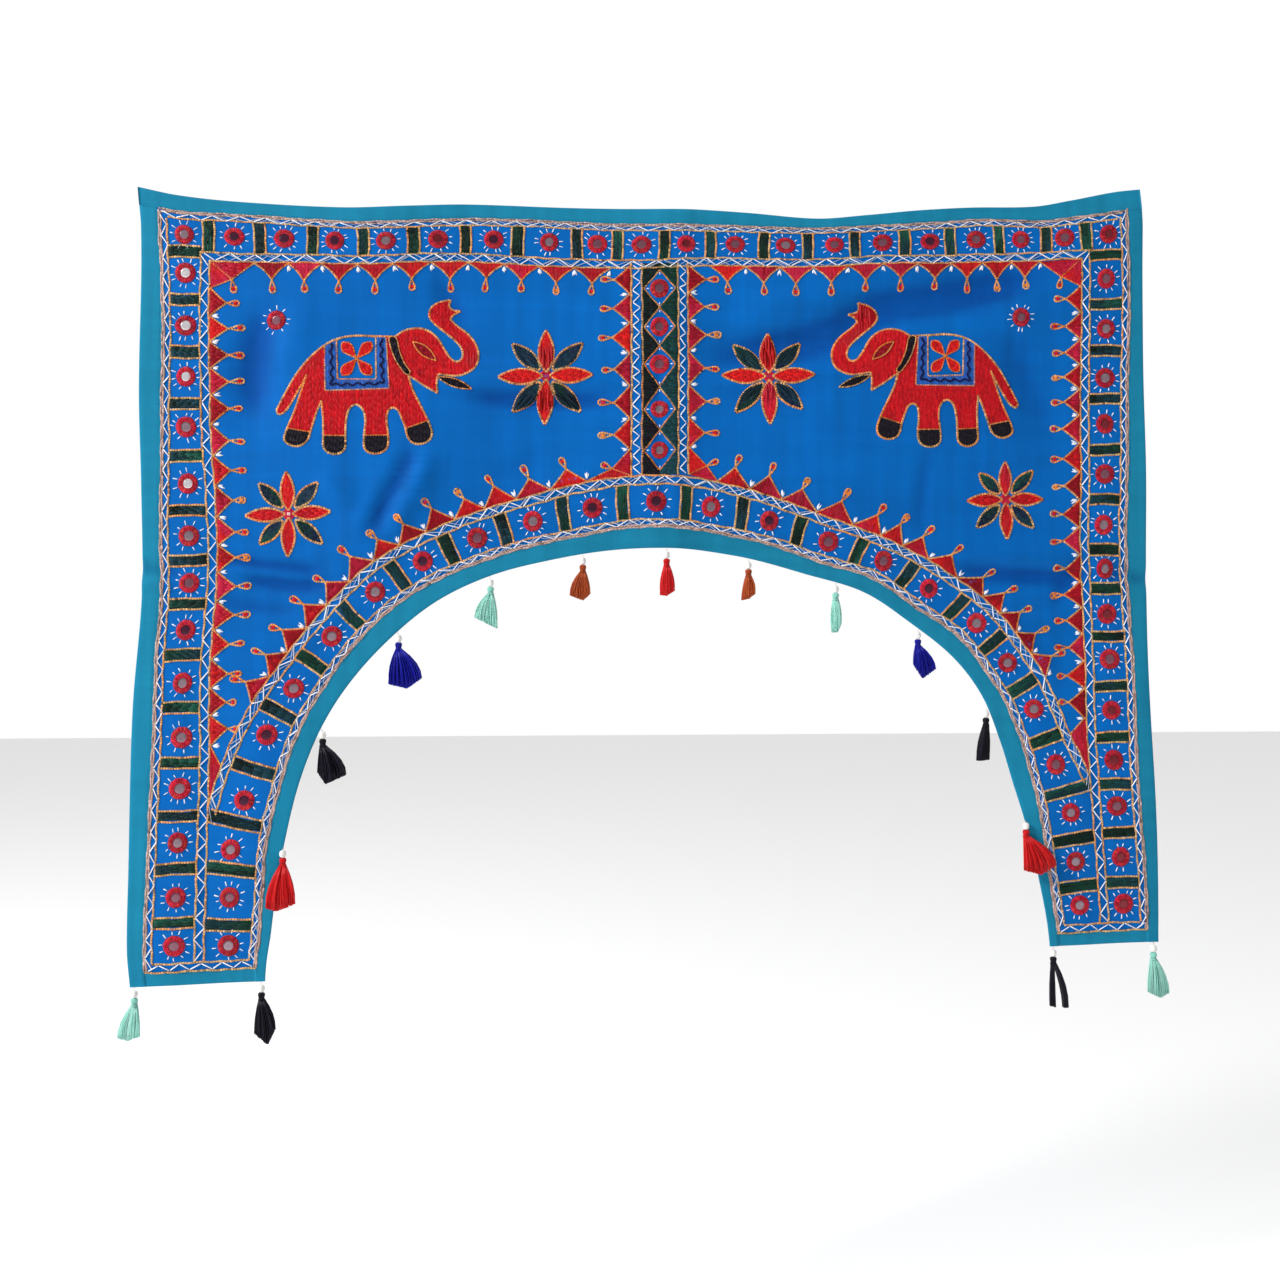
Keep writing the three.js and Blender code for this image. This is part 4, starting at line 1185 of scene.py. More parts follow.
def mix_colour(nodes, links, blend, factor, first, second):
    node = nodes.new("ShaderNodeMix")
    node.data_type = "RGBA"
    node.blend_type = blend
    for socket, value in ((node.inputs[0], factor), (node.inputs[6], first), (node.inputs[7], second)):
        if isinstance(value, bpy.types.NodeSocket):
            links.new(value, socket)
        else:
            socket.default_value = value
    return node.outputs[2]


def add_bump(nodes, links, height, strength, distance, normal=None):
    node = nodes.new("ShaderNodeBump")
    set_sockets(node, {"Strength": strength, "Distance": distance})
    links.new(height, node.inputs["Height"])
    if normal is not None:
        links.new(normal, node.inputs["Normal"])
    return node.outputs["Normal"]


def noise(nodes, links, vector, scale, detail=3.0, stretch=(1, 1, 1)):
    mapping = nodes.new("ShaderNodeMapping")
    set_sockets(mapping, {"Scale": stretch})
    links.new(vector, mapping.inputs["Vector"])
    node = nodes.new("ShaderNodeTexNoise")
    set_sockets(node, {"Scale": scale, "Detail": detail})
    links.new(mapping.outputs["Vector"], node.inputs["Vector"])
    return node.outputs["Fac"]


def ramp(nodes, links, value, low, high, start=0.0, end=1.0):
    """Straight rise from low to high while the value goes from start to end."""
    node = nodes.new("ShaderNodeMapRange")
    set_sockets(node, {"From Min": start, "From Max": end, "To Min": low, "To Max": high})
    links.new(value, node.inputs["Value"])
    return node.outputs["Result"]


def toned(nodes, links, share, colour, value, low, high):
    """A colour multiplied by a grey between low and high that follows a value."""
    level = ramp(nodes, links, value, low, high)
    grey = nodes.new("ShaderNodeCombineColor")
    for channel in range(3):
        links.new(level, grey.inputs[channel])
    return mix_colour(nodes, links, "MULTIPLY", share, colour, grey.outputs["Color"])


THREADS_PER_METRE = 2100


def cotton(name, base, light, roughness):
    """Plain-woven cotton: fine weave, slubs, slightly uneven dye, and painted shade in its creases from the
    tint attribute.
    """
    material, nodes, links, shader = new_material(name)
    place = nodes.new("ShaderNodeTexCoord").outputs["Object"]
    patches = ramp(nodes, links, noise(nodes, links, place, 5.5, 4), 0.0, 1.0)
    streaks = noise(nodes, links, place, 46, 3, (1, 1, 0.06))
    slubs = noise(nodes, links, place, 60, 3, (0.05, 1, 1))
    mixed = mix_colour(nodes, links, "MIX", patches, (*base, 1), (*light, 1))
    for value, share in ((streaks, 0.48), (slubs, 0.3)):
        mixed = toned(nodes, links, share, mixed, value, 0.55, 1.45)
    # Multiplied by the tint attribute, which on the cloth holds painted shade in its creases
    mixed = mix_colour(nodes, links, "MULTIPLY", 1.0, mixed, attribute(nodes, "tint")["Color"])
    links.new(mixed, shader.inputs["Base Color"])
    weave = nodes.new("ShaderNodeMath")
    weave.operation = "MAXIMUM"
    for axis, into in zip(("X", "Z"), weave.inputs):
        wave = nodes.new("ShaderNodeTexWave")
        wave.bands_direction = axis
        set_sockets(wave, {"Scale": THREADS_PER_METRE / 20 * math.pi, "Distortion": 0.6})
        links.new(place, wave.inputs["Vector"])
        links.new(wave.outputs["Fac"], into)
    normal = add_bump(nodes, links, weave.outputs["Value"], 0.35, 0.0001)
    normal = add_bump(nodes, links, noise(nodes, links, place, 32, 5), 0.5, 0.0009, normal)
    links.new(normal, shader.inputs["Normal"])
    set_sockets(shader, {"Roughness": roughness, "Sheen Weight": 0.02, "Sheen Roughness": 0.4,
                         "Specular IOR Level": 0.08})
    return material


def floss(name, roughness, sheen, plies, bump):
    """Embroidery thread: its colour is sewn in as tint, and fine filaments run along each stitch."""
    material, nodes, links, shader = new_material(name)
    hairs = noise(nodes, links, attribute(nodes, "yarn")["Vector"], plies, 2, (1, 0.04, 1))
    mixed = toned(nodes, links, 0.7, attribute(nodes, "tint")["Color"], hairs, 0.6, 1.4)
    links.new(mixed, shader.inputs["Base Color"])
    links.new(add_bump(nodes, links, hairs, bump, 0.0003), shader.inputs["Normal"])
    set_sockets(shader, {"Roughness": roughness, "Sheen Weight": sheen, "Sheen Roughness": 0.35,
                         "Specular IOR Level": 0.15})
    return material


def mirror_glass():
    """Small silvered mirror, dulled and uneven all over."""
    material, nodes, links, shader = new_material("mirror_glass")
    spots = noise(nodes, links, nodes.new("ShaderNodeTexCoord").outputs["Object"], 260, 3)
    mixed = toned(nodes, links, 1.0, attribute(nodes, "tint")["Color"], spots, 0.7, 1.25)
    links.new(mixed, shader.inputs["Base Color"])
    links.new(add_bump(nodes, links, spots, 0.15, 0.0004), shader.inputs["Normal"])
    set_sockets(shader, {"Metallic": 0.5, "Roughness": 0.3})
    return material


PANEL_CLOTH = cotton("blue_cotton", linear(0, 90, 168), linear(0, 104, 188), 0.7)
STRIP_CLOTH = cotton("teal_cotton", linear(18, 118, 152), linear(30, 132, 166), 0.75)
SILK = floss("silk_floss", 0.42, 0.02, 2.6, 0.5)
GOLD_THREAD = floss("gold_thread", 0.5, 0.05, 3.0, 0.5)
COTTON_THREAD = floss("white_cotton_thread", 0.6, 0.1, 2.2, 0.4)
GLASS_MATERIAL = mirror_glass()


def make_piece(name, points, faces, materials, tint=None, yarn=None, face_material=None, slot=None):
    """A smooth-shaded mesh that rides on the hanging. points are metres, faces triangles or quads."""
    mesh = bpy.data.meshes.new(name)
    points, faces = np.asarray(points, np.float32), np.asarray(faces, np.int32)
    mesh.vertices.add(len(points))
    mesh.vertices.foreach_set("co", points.ravel())
    mesh.loops.add(faces.size)
    mesh.polygons.add(len(faces))
    mesh.polygons.foreach_set("loop_start", np.arange(len(faces), dtype=np.int32) * faces.shape[1])
    mesh.polygons.foreach_set("vertices", faces.ravel())
    mesh.polygons.foreach_set("use_smooth", np.ones(len(faces), bool))
    if face_material is not None:
        mesh.polygons.foreach_set("material_index", np.asarray(face_material, np.int32))
    if tint is not None:
        colours = np.concatenate([tint, np.ones((len(tint), 1))], 1).astype(np.float32)
        mesh.attributes.new("tint", "FLOAT_COLOR", "POINT").data.foreach_set("color", colours.ravel())
    if yarn is not None:
        runs = np.asarray(yarn, np.float32)
        mesh.attributes.new("yarn", "FLOAT_VECTOR", "POINT").data.foreach_set("vector", runs.ravel())
    mesh.update(calc_edges=True)
    mesh.validate()
    piece = bpy.data.objects.new(name, mesh)
    bpy.context.scene.collection.objects.link(piece)
    for material in materials:
        mesh.materials.append(material)
    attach(piece, "root")
    return piece


def joined(parts):
    """Joins (points, faces, tint, yarn) parts into one mesh."""
    points, faces, tints, yarns, count = [], [], [], [], 0
    for part_points, part_faces, tint, yarn in parts:
        points.append(part_points)
        faces.append(part_faces + count)
        tints.append(np.broadcast_to(tint, (len(part_points), 3)))
        yarns.append(np.broadcast_to(yarn, (len(part_points), 3)))
        count += len(part_points)
    return [np.concatenate(part) for part in (points, faces, tints, yarns)]


def stitched(group):
    """The stitches of one sew call as a part: points, faces, tints and yarn coordinates."""
    (form, form_faces), starts, ends, width, height, lift, tint, side = group
    t, across, up = form.T
    way = ends - starts
    long = np.maximum(np.hypot(*way.T), 1e-6)
    left = left_of(way) / long[:, None]
    flat = starts[:, None] + way[:, None] * t[None, :, None]
    flat = flat + left[:, None] * (width[:, None] * across * side)[..., None]
    raised = side * (lift[:, None] + height[:, None] * up)
    points = hang(flat[..., 0], flat[..., 1], raised).reshape(-1, 3)
    n, k = len(starts), len(form)
    faces = (form_faces[None] + (np.arange(n) * k)[:, None, None]).reshape(-1, 3)
    seed = rng.uniform(0, 100, n)
    yarn = np.stack(np.broadcast_arrays(across * width[:, None], t * long[:, None], seed[:, None]), -1)
    return points, faces, np.repeat(tint, k, axis=0), yarn.reshape(-1, 3)


def make_stitches():
    materials = {"white_stitches": COTTON_THREAD, "back_stitches": COTTON_THREAD, "navy_wave": COTTON_THREAD}
    for name, groups in sewn.items():
        if name in glass:
            continue
        material = materials.get(name, GOLD_THREAD if name.startswith("gold") else SILK)
        points, faces, tints, yarns = joined(map(stitched, groups))
        make_piece(name, points, faces, [material], tints, yarns)


def glass_discs(rows):
    """Slightly domed mirrors, closed underneath."""
    points, faces, tints = [], [], []
    for u, v, radius, tint in rows:
        base = sum(map(len, points))
        for share, lift in ((1, 0.1), (1, 1.0), (0.6, 1.1)):
            rim = (u, v) + share * circle(GLASS_SIDES) * radius
            points.append(hang(rim[:, 0], rim[:, 1], FRONT + lift))
        points.append(hang(np.array([u, u], float), np.array([v, v], float), FRONT + np.array([0.1, 1.12])))
        n = GLASS_SIDES
        for k in range(n):
            m = (k + 1) % n
            faces.append((base + 3 * n, base + m, base + k))
            faces.append((base + 3 * n + 1, base + 2 * n + k, base + 2 * n + m))
            for ring in range(2):
                a, b = base + ring * n, base + (ring + 1) * n
                faces += [(a + k, a + m, b + m), (a + k, b + m, b + k)]
        tints.append(np.broadcast_to(tint, (3 * n + 2, 3)))
    return np.concatenate(points), np.array(faces), np.concatenate(tints)


def make_mirrors():
    for name, rows in glass.items():
        discs = glass_discs(rows)
        points, faces, tints, yarns = joined([*map(stitched, sewn[name]), (*discs, np.zeros(3))])
        is_glass = np.arange(len(faces)) >= len(faces) - len(discs[1])
        piece = make_piece(name, points, faces, [SILK, GLASS_MATERIAL], tints, yarns, is_glass, "mirror_work")
        if name.startswith("sewn_"):
            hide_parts(name.removeprefix("sewn_"))


# Cloth
PANEL_EDGE = STRIP_WIDTH + SEAM_GAP
FOOT_LINE = -(HEIGHT - HEM_WIDTH - SEAM_GAP)
FOOT_SHARE = 0.0096
# Steps from the arch to the outer edge of the panel, and steps along it for each one in its fan
PANEL_ACROSS = 64
PANEL_FINER = 6
# Columns: side of the panel, v where it ends, share of the arch that it lies against there, steps up to there
PANEL_FAN = [
    ("left", FOOT_LINE, FOOT_SHARE, 0), ("left", -700, 0.22, 10), ("left", -PANEL_EDGE, 0.36, 17),
    ("top", -PANEL_EDGE, 0.64, 28), ("right", -700, 0.78, 17), ("right", FOOT_LINE, 1 - FOOT_SHARE, 10),
]


def closed_grid(front, back):
    """Two layers of the same grid joined round the rim. Returns points and quads."""
    rows, columns = front.shape[:2]
    layer = rows * columns
    index = np.arange(layer).reshape(rows, columns)
    a, b, c, d = index[:-1, :-1], index[:-1, 1:], index[1:, 1:], index[1:, :-1]
    top = np.stack([a, b, c, d], -1).reshape(-1, 4)
    rim = np.concatenate([index[0, :], index[1:, -1], index[-1, -2::-1], index[-2:0:-1, 0]])
    following = np.roll(rim, -1)
    sides = np.stack([rim, rim + layer, following + layer, following], -1)
    quads = np.concatenate([top, top[:, ::-1] + layer, sides])
    return np.concatenate([front.reshape(-1, 3), back.reshape(-1, 3)]), quads


def turned_out(points, quads):
    """Turns the faces over if their closed surface has a negative volume."""
    a, b, c, d = (points[quads[:, k]] for k in range(4))
    volume = np.einsum("ij,ij->", a, np.cross(b, c)) + np.einsum("ij,ij->", a, np.cross(c, d))
    return quads[:, ::-1] if volume < 0 else quads


def make_panel():
    """The cotton ground between the strips, as a fan from the arch out to the other edges."""
    left, right = lane_left(-PANEL_EDGE, PANEL_EDGE)[0], lane_right(-PANEL_EDGE, PANEL_EDGE)[0]
    outer, shares = [], []
    for (_, v0, s0, _), (side, v1, s1, steps) in zip(PANEL_FAN[:-1], PANEL_FAN[1:]):
        t = np.linspace(0, 1, steps * PANEL_FINER, endpoint=False)
        shares.append(s0 + (s1 - s0) * t)
        if side == "top":
            outer.append(lane_top(left + (right - left) * t, PANEL_EDGE))
        else:
            lane = lane_left if side == "left" else lane_right
            outer.append(lane(v0 + (v1 - v0) * t, PANEL_EDGE))
    outer = np.concatenate([*outer, [lane_right(FOOT_LINE, PANEL_EDGE)]])
    shares = np.concatenate([*shares, [1 - FOOT_SHARE]])
    inner = lane_arch(shares * ARCH_LENGTH, PANEL_EDGE)
    inner[:, 1] = np.maximum(inner[:, 1], FOOT_LINE)
    t = np.linspace(0, 1, PANEL_ACROSS + 1)[None, :, None]
    flat = inner[:, None] * (1 - t) + outer[:, None] * t
    u, v = flat[..., 0], flat[..., 1]
    points, quads = closed_grid(hang(u, v, FRONT), hang(u, v, -FRONT))
    # The tint holds painted shade in the creases, on both layers, not the cloth's own colour
    tone = np.tile(painted_crease_shade(u, v), (2, 1))
    piece = make_piece("cotton_panel", points, turned_out(points, quads), [PANEL_CLOTH], tone, slot="ground")
    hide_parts("panel")
    corners = np.stack([inner[:-1], outer[:-1], outer[1:], inner[1:]], 1)
    following = np.roll(corners, -1, axis=1)
    double = corners[..., 0] * following[..., 1] - following[..., 0] * corners[..., 1]
    area = np.abs(double.sum(axis=1)).sum() / 2
    return piece, area * MM**2


# Section of a folded strip, from its outer fold round the front to the slot that takes the panel's edge.
# Columns: share of the strip's width from the outer fold, millimetres more, share of half its thickness
STRIP_SECTION = [
    (0, 0, 0), (0, 0.35, 0.7), (0, 1.6, 0.97), (0.25, 0, 0.9), (0.5, 0, 0.86), (0.75, 0, 0.92),
    (1, -2.6, 0.98), (1, -1.4, 0.86), (1, 0.6, 0.98), (1, 1.3, 0.9), (1, 1.2, 0.71), (1, 0, 0.71), (1, 0, 0),
]
STRIP_STEP = 4.2
# Share of its thickness by which a strip swells in short waves beside its seam, and in long ones all over
PUCKER = 0.07
PUCKER_WIDE = 4
PUFF = 0.05
SEAM_IN = 3
SEAM_STITCH = 3.6
SEAM_THREAD = linear(16, 92, 120)


def end_caps(index):
    """Quads that close both ends of a strip. Each ring goes round the front and back along the rear."""
    columns = index.shape[1]
    caps = []
    for ring, turn in ((index[0], 1), (index[-1], -1)):
        for j in range(columns // 2):
            quad = (ring[j], ring[j + 1], ring[(columns - j - 1) % columns], ring[(columns - j) % columns])
            if len(set(quad)) == 4:
                caps.append(quad[::turn])
    return caps


def make_strip(name, node, lane, start, end, width):
    """A folded strip along an edge, sewn down beside its inner edge."""
    count = max(3, round(abs(end - start) / STRIP_STEP))
    a = np.linspace(start, end, count + 1)
    front = np.array([(share * width + more, height) for share, more, height in STRIP_SECTION])
    back = (front * (1, -1))[-2:0:-1]
    section = np.concatenate([front, back])
    phase = rng.uniform(0, 2 * math.pi, 4)
    pucker = (np.sin(a / 3.1 + phase[0]) + np.sin(a / 5.3 + phase[1])) * PUCKER
    puff = (np.sin(a / 21 + phase[2]) + np.sin(a / 34 + phase[3])) * PUFF
    d = np.broadcast_to(section[:, 0], (len(a), len(section)))
    near_seam = np.exp(-((section[:, 0] - width + SEAM_IN) / PUCKER_WIDE) ** 2)
    swell = 1 + puff[:, None] + pucker[:, None] * near_seam
    flat = lane(np.broadcast_to(a[:, None], d.shape), d)
    points = hang(flat[..., 0], flat[..., 1], section[:, 1] * swell * STRIP_THICK / 2).reshape(-1, 3)
    index = np.arange(d.size).reshape(d.shape)
    following = np.roll(index, -1, axis=1)
    walls = np.stack([index[:-1], following[:-1], following[1:], index[1:]], -1).reshape(-1, 4)
    quads = turned_out(points, np.concatenate([walls, end_caps(index)]))
    # The tint holds painted shade in the creases, not the strip's own colour
    tone = painted_crease_shade(flat[..., 0], flat[..., 1])
    piece = make_piece(name, points, quads, [STRIP_CLOTH], tone, slot="strip")
    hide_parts(node)
    seam = np.arange(min(start, end) + 2, max(start, end) - 4, SEAM_STITCH)
    starts, ends = (lane(places, width - 1.5) for places in (seam, seam + SEAM_STITCH * 0.8))
    tints = shaded(SEAM_THREAD, len(seam), 0.1)
    sew("seam_stitches", SMALL, starts, ends, 0.4, 0.35, tints, lift=STRIP_THICK / 2 - 0.22)
    return piece


def make_cloth():
    seams = [lane_top(side * (HALF - STRIP_WIDTH / 2), PANEL_EDGE)[1] for side in (-1, 1)]
    strips = [
        make_strip("folded_top_strip", "border_top", lane_top, -HALF, HALF, STRIP_WIDTH),
        make_strip("folded_left_strip", "border_left", lane_left, seams[0], -HEIGHT, STRIP_WIDTH),
        make_strip("folded_right_strip", "border_right", lane_right, seams[1], -HEIGHT, STRIP_WIDTH),
        make_strip("folded_arch_strip", "border_arch", lane_arch, 0, ARCH_LENGTH, STRIP_WIDTH),
    ]
    middle = HEM_WIDTH / 2 - HEIGHT
    for name, lane, foot in (("left", lane_left, 0), ("right", lane_right, ARCH_LENGTH)):
        ends = sorted((lane(middle, PANEL_EDGE)[0], lane_arch(foot, PANEL_EDGE)[0]))
        strips.append(make_strip(f"folded_{name}_hem", f"hem_{name}_leg", lane_hem, *ends, HEM_WIDTH))
    panel, area = make_panel()


# Tassels and beads
TUFT_STRANDS = 150
TUFT_STEPS = 5
STRAND_RADIUS = 0.85
SKIRT_FLARE = 1.9
SKIRT_LOWER = 0.4
# Cut end of each skirt, by tassel. Columns: sideways reach and drop from the crown of its left corner, of its
# lowest middle and of its right corner, then how far the two halves are parted
SKIRTS = [
    (-22, 54, -8, 57, 7, 52, 0), (-9, 56, 9, 71, 19, 50, 0), (-21, 66, -6, 71, 18, 62, 0),
    (-6, 46, 5, 62, 32, 50, 0), (-13, 58, 12, 64, 32, 50, 0), (-22, 43, 0, 54, 9, 58, 0),
    (-18, 43, 0, 50, 10, 41, 0), (-9, 51, 0, 52, 11, 45, 0), (-10, 44, 0, 42, 9, 35, 0),
    (-6, 56, 2, 56, 7, 44, 0), (-8, 36, 5, 56, 24, 43, 0), (-15, 61, -6, 61, 3, 60, 0),
    (-6, 57, 18, 63, 41, 50, 0), (-6, 70, 8, 73, 21, 73, 0.45), (-9, 57, 8, 65, 22, 58, 0),
]
YARNS = {
    "tassel_mint": (linear(132, 206, 190), linear(178, 228, 216)),
    "tassel_black": (linear(14, 12, 20), linear(34, 30, 44)),
    "tassel_red": (linear(196, 14, 22), linear(222, 42, 44)),
    "tassel_royal": (linear(16, 18, 138), linear(26, 32, 168)),
    "tassel_rust": (linear(158, 62, 26), linear(190, 92, 48)),
}


def tubes(paths, radii, sides=3):
    """Round threads along many paths at once: paths is (count, steps, 3), radii one or (count, steps)."""
    count, steps = paths.shape[:2]
    radii = np.broadcast_to(radii, (count, steps))
    way = np.gradient(paths, axis=1)
    way /= np.maximum(np.linalg.norm(way, axis=2, keepdims=True), 1e-9)
    side = np.cross(way, np.array([0.0, 1.0, 0.02]))
    side /= np.maximum(np.linalg.norm(side, axis=2, keepdims=True), 1e-9)
    other = np.cross(way, side)
    turn = np.linspace(0, 2 * math.pi, sides, endpoint=False)
    ring = side[:, :, None] * np.cos(turn)[:, None] + other[:, :, None] * np.sin(turn)[:, None]
    points = paths[:, :, None] + ring * radii[:, :, None, None]
    index = np.arange(count * steps * sides).reshape(count, steps, sides)
    following = np.roll(index, -1, axis=2)
    a, b, c, d = index[:, :-1], following[:, :-1], following[:, 1:], index[:, 1:]
    faces = np.concatenate([np.stack([a, b, c], -1).reshape(-1, 3), np.stack([a, c, d], -1).reshape(-1, 3)])
    for k in range(1, sides - 1):
        caps = [index[:, 0, [0, k + 1, k]], index[:, -1, [0, k, k + 1]]]
        faces = np.concatenate([faces, *caps])
    return points.reshape(-1, 3), faces


def lathe(profile, top, sides=20):
    """Round body under a point. profile is (radius, down) in millimetres, closed at both ends."""
    turn = np.linspace(0, 2 * math.pi, sides, endpoint=False)
    ring = np.stack([np.cos(turn), np.sin(turn), np.zeros(sides)], -1)
    points = [np.asarray(top) + MM * (radius * ring - (0, 0, down)) for radius, down in profile]
    points.append(np.asarray([top]) - MM * np.array([[0, 0, profile[0][1]]]))
    points.append(np.asarray([top]) - MM * np.array([[0, 0, profile[-1][1]]]))
    faces = []
    low, high = len(profile) * sides, len(profile) * sides + 1
    for k in range(sides):
        m = (k + 1) % sides
        faces += [(low, k, m), (high, (len(profile) - 1) * sides + m, (len(profile) - 1) * sides + k)]
        for i in range(len(profile) - 1):
            a, b = i * sides, (i + 1) * sides
            faces += [(a + k, b + k, b + m), (a + k, b + m, a + m)]
    return np.concatenate(points), np.array(faces)


def corners_of(node):
    """All corners of a solid, in metres."""
    mesh = frame["nodes"][node].data
    points = np.empty(len(mesh.vertices) * 3, np.float32)
    mesh.vertices.foreach_get("co", points)
    return points.reshape(-1, 3).astype(float)


def around(top, radius, turn, down):
    """Points round the upright axis under a point: its metres, the rest in millimetres."""
    return top + MM * np.stack(np.broadcast_arrays(radius * np.cos(turn), radius * np.sin(turn), -down), -1)


def thread_round(profile, down, radius):
    """Distance from the axis of a thread of a radius that lies on a lathed body."""
    radii, downs = np.array(profile).T
    return np.interp(down, downs, radii) + radius


HEAD_LONG = 10.5
HEAD_RIDGES = 22
HEAD_TWIST = 0.35
RIDGE_RADIUS = 0.42
WRAP_TURNS = 5
WRAP_RADIUS = 0.4
HEAD_PROFILE = [(2.4, 0.2), (4.2, 1.6), (4.4, 4.2), (3.6, 6.4), (3.5, 8.4), (4.6, 10.6)]
BEAD_LONG = 10
BEAD_TURNS = 9
BEAD_PROFILE = [(1.9, 0.2), (3.6, 1.5), (4.25, 3.6), (4.3, 6.2), (3.4, 8.6), (2.3, 9.9)]


def tassel_skirt(number, crown, deep, pale):
    """Loose strands from the neck down to the cut end, as one part."""
    node = f"tassel_{number:02}"
    low, high = (np.array(corner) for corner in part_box(node))
    solid = corners_of(node)
    n = TUFT_STRANDS
    x = rng.permutation(np.linspace(-1, 1, n))
    y = np.sqrt(1 - 0.85 * x**2) * rng.uniform(-1, 1, n)
    left, left_drop, middle, middle_drop, right, right_drop, parted = SKIRTS[number - 1]
    aside = np.sign(x) * (parted + (1 - parted) * np.abs(x))
    reach = np.interp(aside, (-1, 0, 1), (left, middle, right))
    drop = np.interp(aside, (-1, 0, 1), (left_drop, middle_drop, right_drop)) - rng.uniform(0, 1.6, n)
    skirt = solid[solid[:, 2] < low[2] + SKIRT_LOWER * (high[2] - low[2]), 1]
    deep_half = (skirt.max() - skirt.min()) / 2 - STRAND_RADIUS * MM
    foot_y = (skirt.max() + skirt.min()) / 2 + y * deep_half
    foot = np.stack([crown[0] + reach * MM, foot_y, crown[2] - drop * MM], -1)
    neck = crown - (0, 0, HEAD_LONG * MM)
    root = neck + np.stack([x * 3.6, y * 3.6, np.full(n, 1.5)], -1) * MM
    t = np.linspace(0, 1, TUFT_STEPS)[None, :, None]
    spread = 1 - (1 - t) ** SKIRT_FLARE
    paths = root[:, None] * (1 - spread) + foot[:, None] * spread
    paths[..., 2] = root[:, None, 2] * (1 - t[..., 0]) + foot[:, None, 2] * t[..., 0]
    sway = rng.normal(0, 0.5, (n, 1, 3)) * MM * np.sin(math.pi * t)
    points, faces = tubes(paths + sway * (1, 1, 0), STRAND_RADIUS * MM * rng.uniform(0.8, 1.15, (n, 1)))
    share = rng.uniform(0, 1, (n, 1))
    tint = np.repeat(deep * (1 - share) + pale * share, TUFT_STEPS * 3, axis=0)
    yarn = np.stack([rng.uniform(0, 9, len(points)), points[:, 2] * 1000, np.zeros(len(points))], -1)
    return points, faces, tint, yarn


def tassel_head(crown, deep, pale):
    """Round head, the twisted strands over it and the thread wound round the neck, as three parts."""
    points, faces = lathe(HEAD_PROFILE, crown)
    parts = [(points, faces, deep * 0.9 + pale * 0.1, points[:, [0, 2, 1]] * 1000)]
    turn = np.linspace(0, 2 * math.pi, HEAD_RIDGES, endpoint=False)
    down = np.linspace(0.2, HEAD_LONG, 8)
    twist = turn[:, None] + HEAD_TWIST * down[None] / HEAD_LONG
    ridges = around(crown, thread_round(HEAD_PROFILE, down, 0.05), twist, down)
    parts.append((*tubes(ridges, RIDGE_RADIUS * MM), deep * 0.6 + pale * 0.4, np.zeros(3)))
    turn = np.linspace(0, 2 * math.pi * WRAP_TURNS, 70)
    wrap = around(crown, 3.75, turn, 6.1 + turn / (2 * math.pi) * 0.62)
    parts.append((*tubes(wrap[None], WRAP_RADIUS * MM, 5), deep * 0.5 + pale * 0.2, np.zeros(3)))
    return parts


def make_tassel(number, yarn_slot):
    """A tied tassel of silky yarn under its bead."""
    node = f"tassel_{number:02}"
    solid = corners_of(node)
    crown = solid[solid[:, 2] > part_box(node)[1][2] - 0.4 * MM].mean(axis=0)
    deep, pale = YARNS[yarn_slot]
    parts = [tassel_skirt(number, crown, deep, pale), *tassel_head(crown, deep, pale)]
    points, faces, tints, yarns = joined(parts)
    piece = make_piece(f"tied_{node}", points, faces, [SILK], tints, yarns, slot=yarn_slot)
    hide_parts(node)


def make_bead(number):
    """A white bead wound with thread, hung from the hem by two short threads."""
    node = f"bead_{number:02}"
    solid = corners_of(node)
    height = solid[:, 2]
    top = solid[height < height.min() + 0.2 * MM].mean(axis=0) + (0, 0, BEAD_LONG * MM)
    hem = solid[height > height.max() - 0.2 * MM].mean(axis=0)
    turn = np.linspace(0, 2 * math.pi * BEAD_TURNS, 110)
    down = 1.2 + turn / turn[-1] * 7.6
    wound = around(top, thread_round(BEAD_PROFILE, down, 0.06), turn, down)
    bodies = [(lathe(BEAD_PROFILE, top), linear(232, 230, 226))]
    bodies.append((tubes(wound[None], 0.36 * MM, 4), linear(244, 243, 240)))
    t = np.linspace(0, 1, 5)[:, None]
    for shift in (-0.5, 0.5):
        start, end = top + MM * np.array([shift * 2.6, 0, -2.0]), hem + MM * np.array([shift, 0, -0.3])
        bodies.append((tubes((start * (1 - t) + end * t)[None], 0.33 * MM, 5), linear(206, 200, 196)))
    points, faces, tints, yarns = joined([(*body, tint, body[0] * 1000) for body, tint in bodies])
    piece = make_piece(f"wound_{node}", points, faces, [COTTON_THREAD], tints, yarns, slot="bead")
    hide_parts(node)


# Camera and studio
CAMERA_AT = (-0.1656, -1.8304, -0.602)
CAMERA_TURN = 4.48
CAMERA_LENS = 36.96
FLOOR_DEPTH = -1.75
FRONT_GLOW = 0.1
BACK_GLOW = 1.0
OVERHEAD_GLOW = 0.75
LIT_POINT = (0, 0, -0.5)
# Columns: name, place, size, power
LIGHTS = [("key_light", (-4.8, -2.1, 2.5), 1.5, 395), ("fill_light", (2.6, -2.6, 0.2), 2.4, 7)]
FLOOR_REACH = 14


def make_camera(scene):
    data = bpy.data.cameras.new("camera")
    data.lens = CAMERA_LENS
    data.sensor_width = 36
    camera = bpy.data.objects.new("camera", data)
    camera.location = CAMERA_AT
    camera.rotation_euler = (math.radians(90), 0, math.radians(-CAMERA_TURN))
    scene.collection.objects.link(camera)
    scene.camera = camera


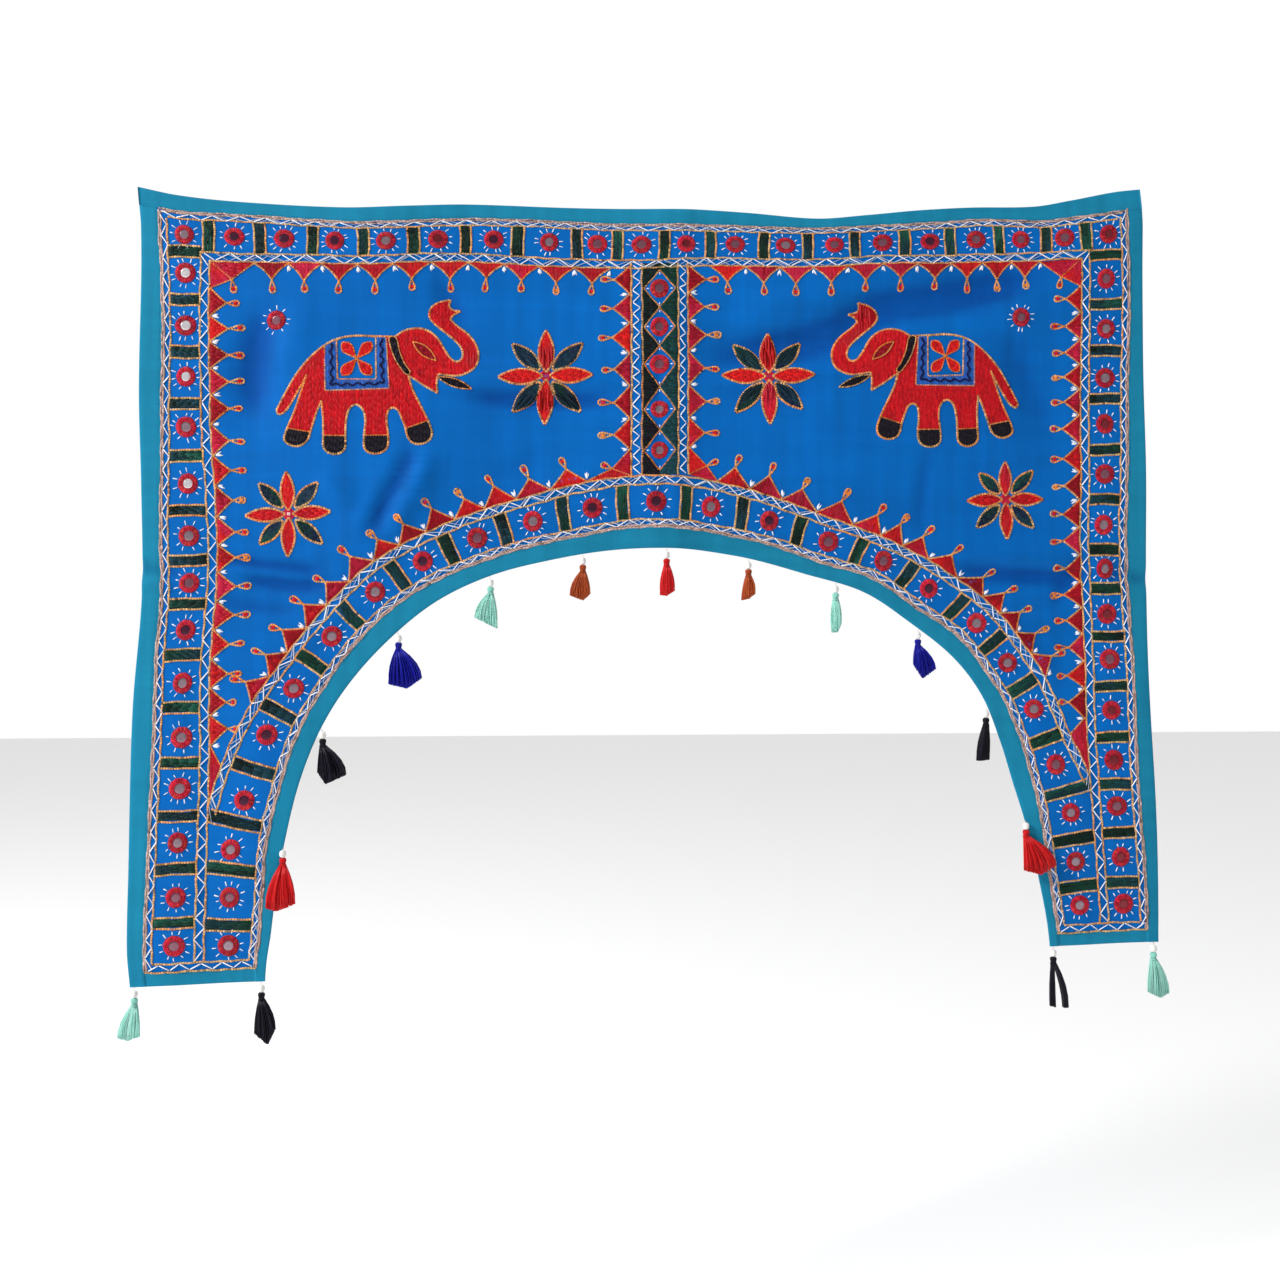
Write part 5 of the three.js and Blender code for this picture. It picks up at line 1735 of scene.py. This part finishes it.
def make_world(scene):
    """Soft white light that is stronger from behind and from above than from the front."""
    world = bpy.data.worlds.new("studio")
    world.use_nodes = True
    nodes, links = world.node_tree.nodes, world.node_tree.links
    way = nodes.new("ShaderNodeSeparateXYZ")
    links.new(nodes.new("ShaderNodeTexCoord").outputs["Generated"], way.inputs["Vector"])
    both = nodes.new("ShaderNodeMath")
    links.new(ramp(nodes, links, way.outputs["Y"], FRONT_GLOW, BACK_GLOW, -0.1, 0.6), both.inputs[0])
    links.new(ramp(nodes, links, way.outputs["Z"], 0, OVERHEAD_GLOW, 0.35, 1), both.inputs[1])
    links.new(both.outputs["Value"], nodes["Background"].inputs["Strength"])
    nodes["Background"].inputs["Color"].default_value = (1, 1, 1, 1)
    scene.world = world


def make_light(scene, name, place, size, power):
    lamp = bpy.data.lights.new(name, "AREA")
    lamp.size = size
    lamp.energy = power
    light = bpy.data.objects.new(name, lamp)
    light.location = place
    light.visible_camera = False
    light.rotation_euler = (Vector(LIT_POINT) - Vector(place)).to_track_quat("-Z", "Y").to_euler()
    scene.collection.objects.link(light)


def make_floor(scene):
    mesh = bpy.data.meshes.new("floor")
    square = ((-1, -1), (1, -1), (1, 1), (-1, 1))
    corners = [(x * FLOOR_REACH, y * FLOOR_REACH, FLOOR_DEPTH) for x, y in square]
    mesh.from_pydata(corners, [], [(0, 1, 2, 3)])
    floor = bpy.data.objects.new("floor", mesh)
    material, _, _, shader = new_material("pale_floor")
    set_sockets(shader, {"Base Color": (0.92, 0.92, 0.92, 1), "Roughness": 0.9})
    mesh.materials.append(material)
    scene.collection.objects.link(floor)


def make_studio():
    scene = bpy.context.scene
    make_camera(scene)
    scene.view_settings.view_transform = "Standard"
    make_world(scene)
    for light in LIGHTS:
        make_light(scene, *light)
    make_floor(scene)


make_studio()
make_cloth()
band_lines()
zigzags()
bars()
teeth()
middle_column()
all_mirrors()
flowers()
for row in ELEPHANTS:
    elephant(*row)
make_mirrors()
make_stitches()
slots = {row["node"]: row["material_slot"] for row in frame["record"]["subparts"]}
for number in range(1, 16):
    make_bead(number)
    make_tassel(number, slots[f"tassel_{number:02}"])
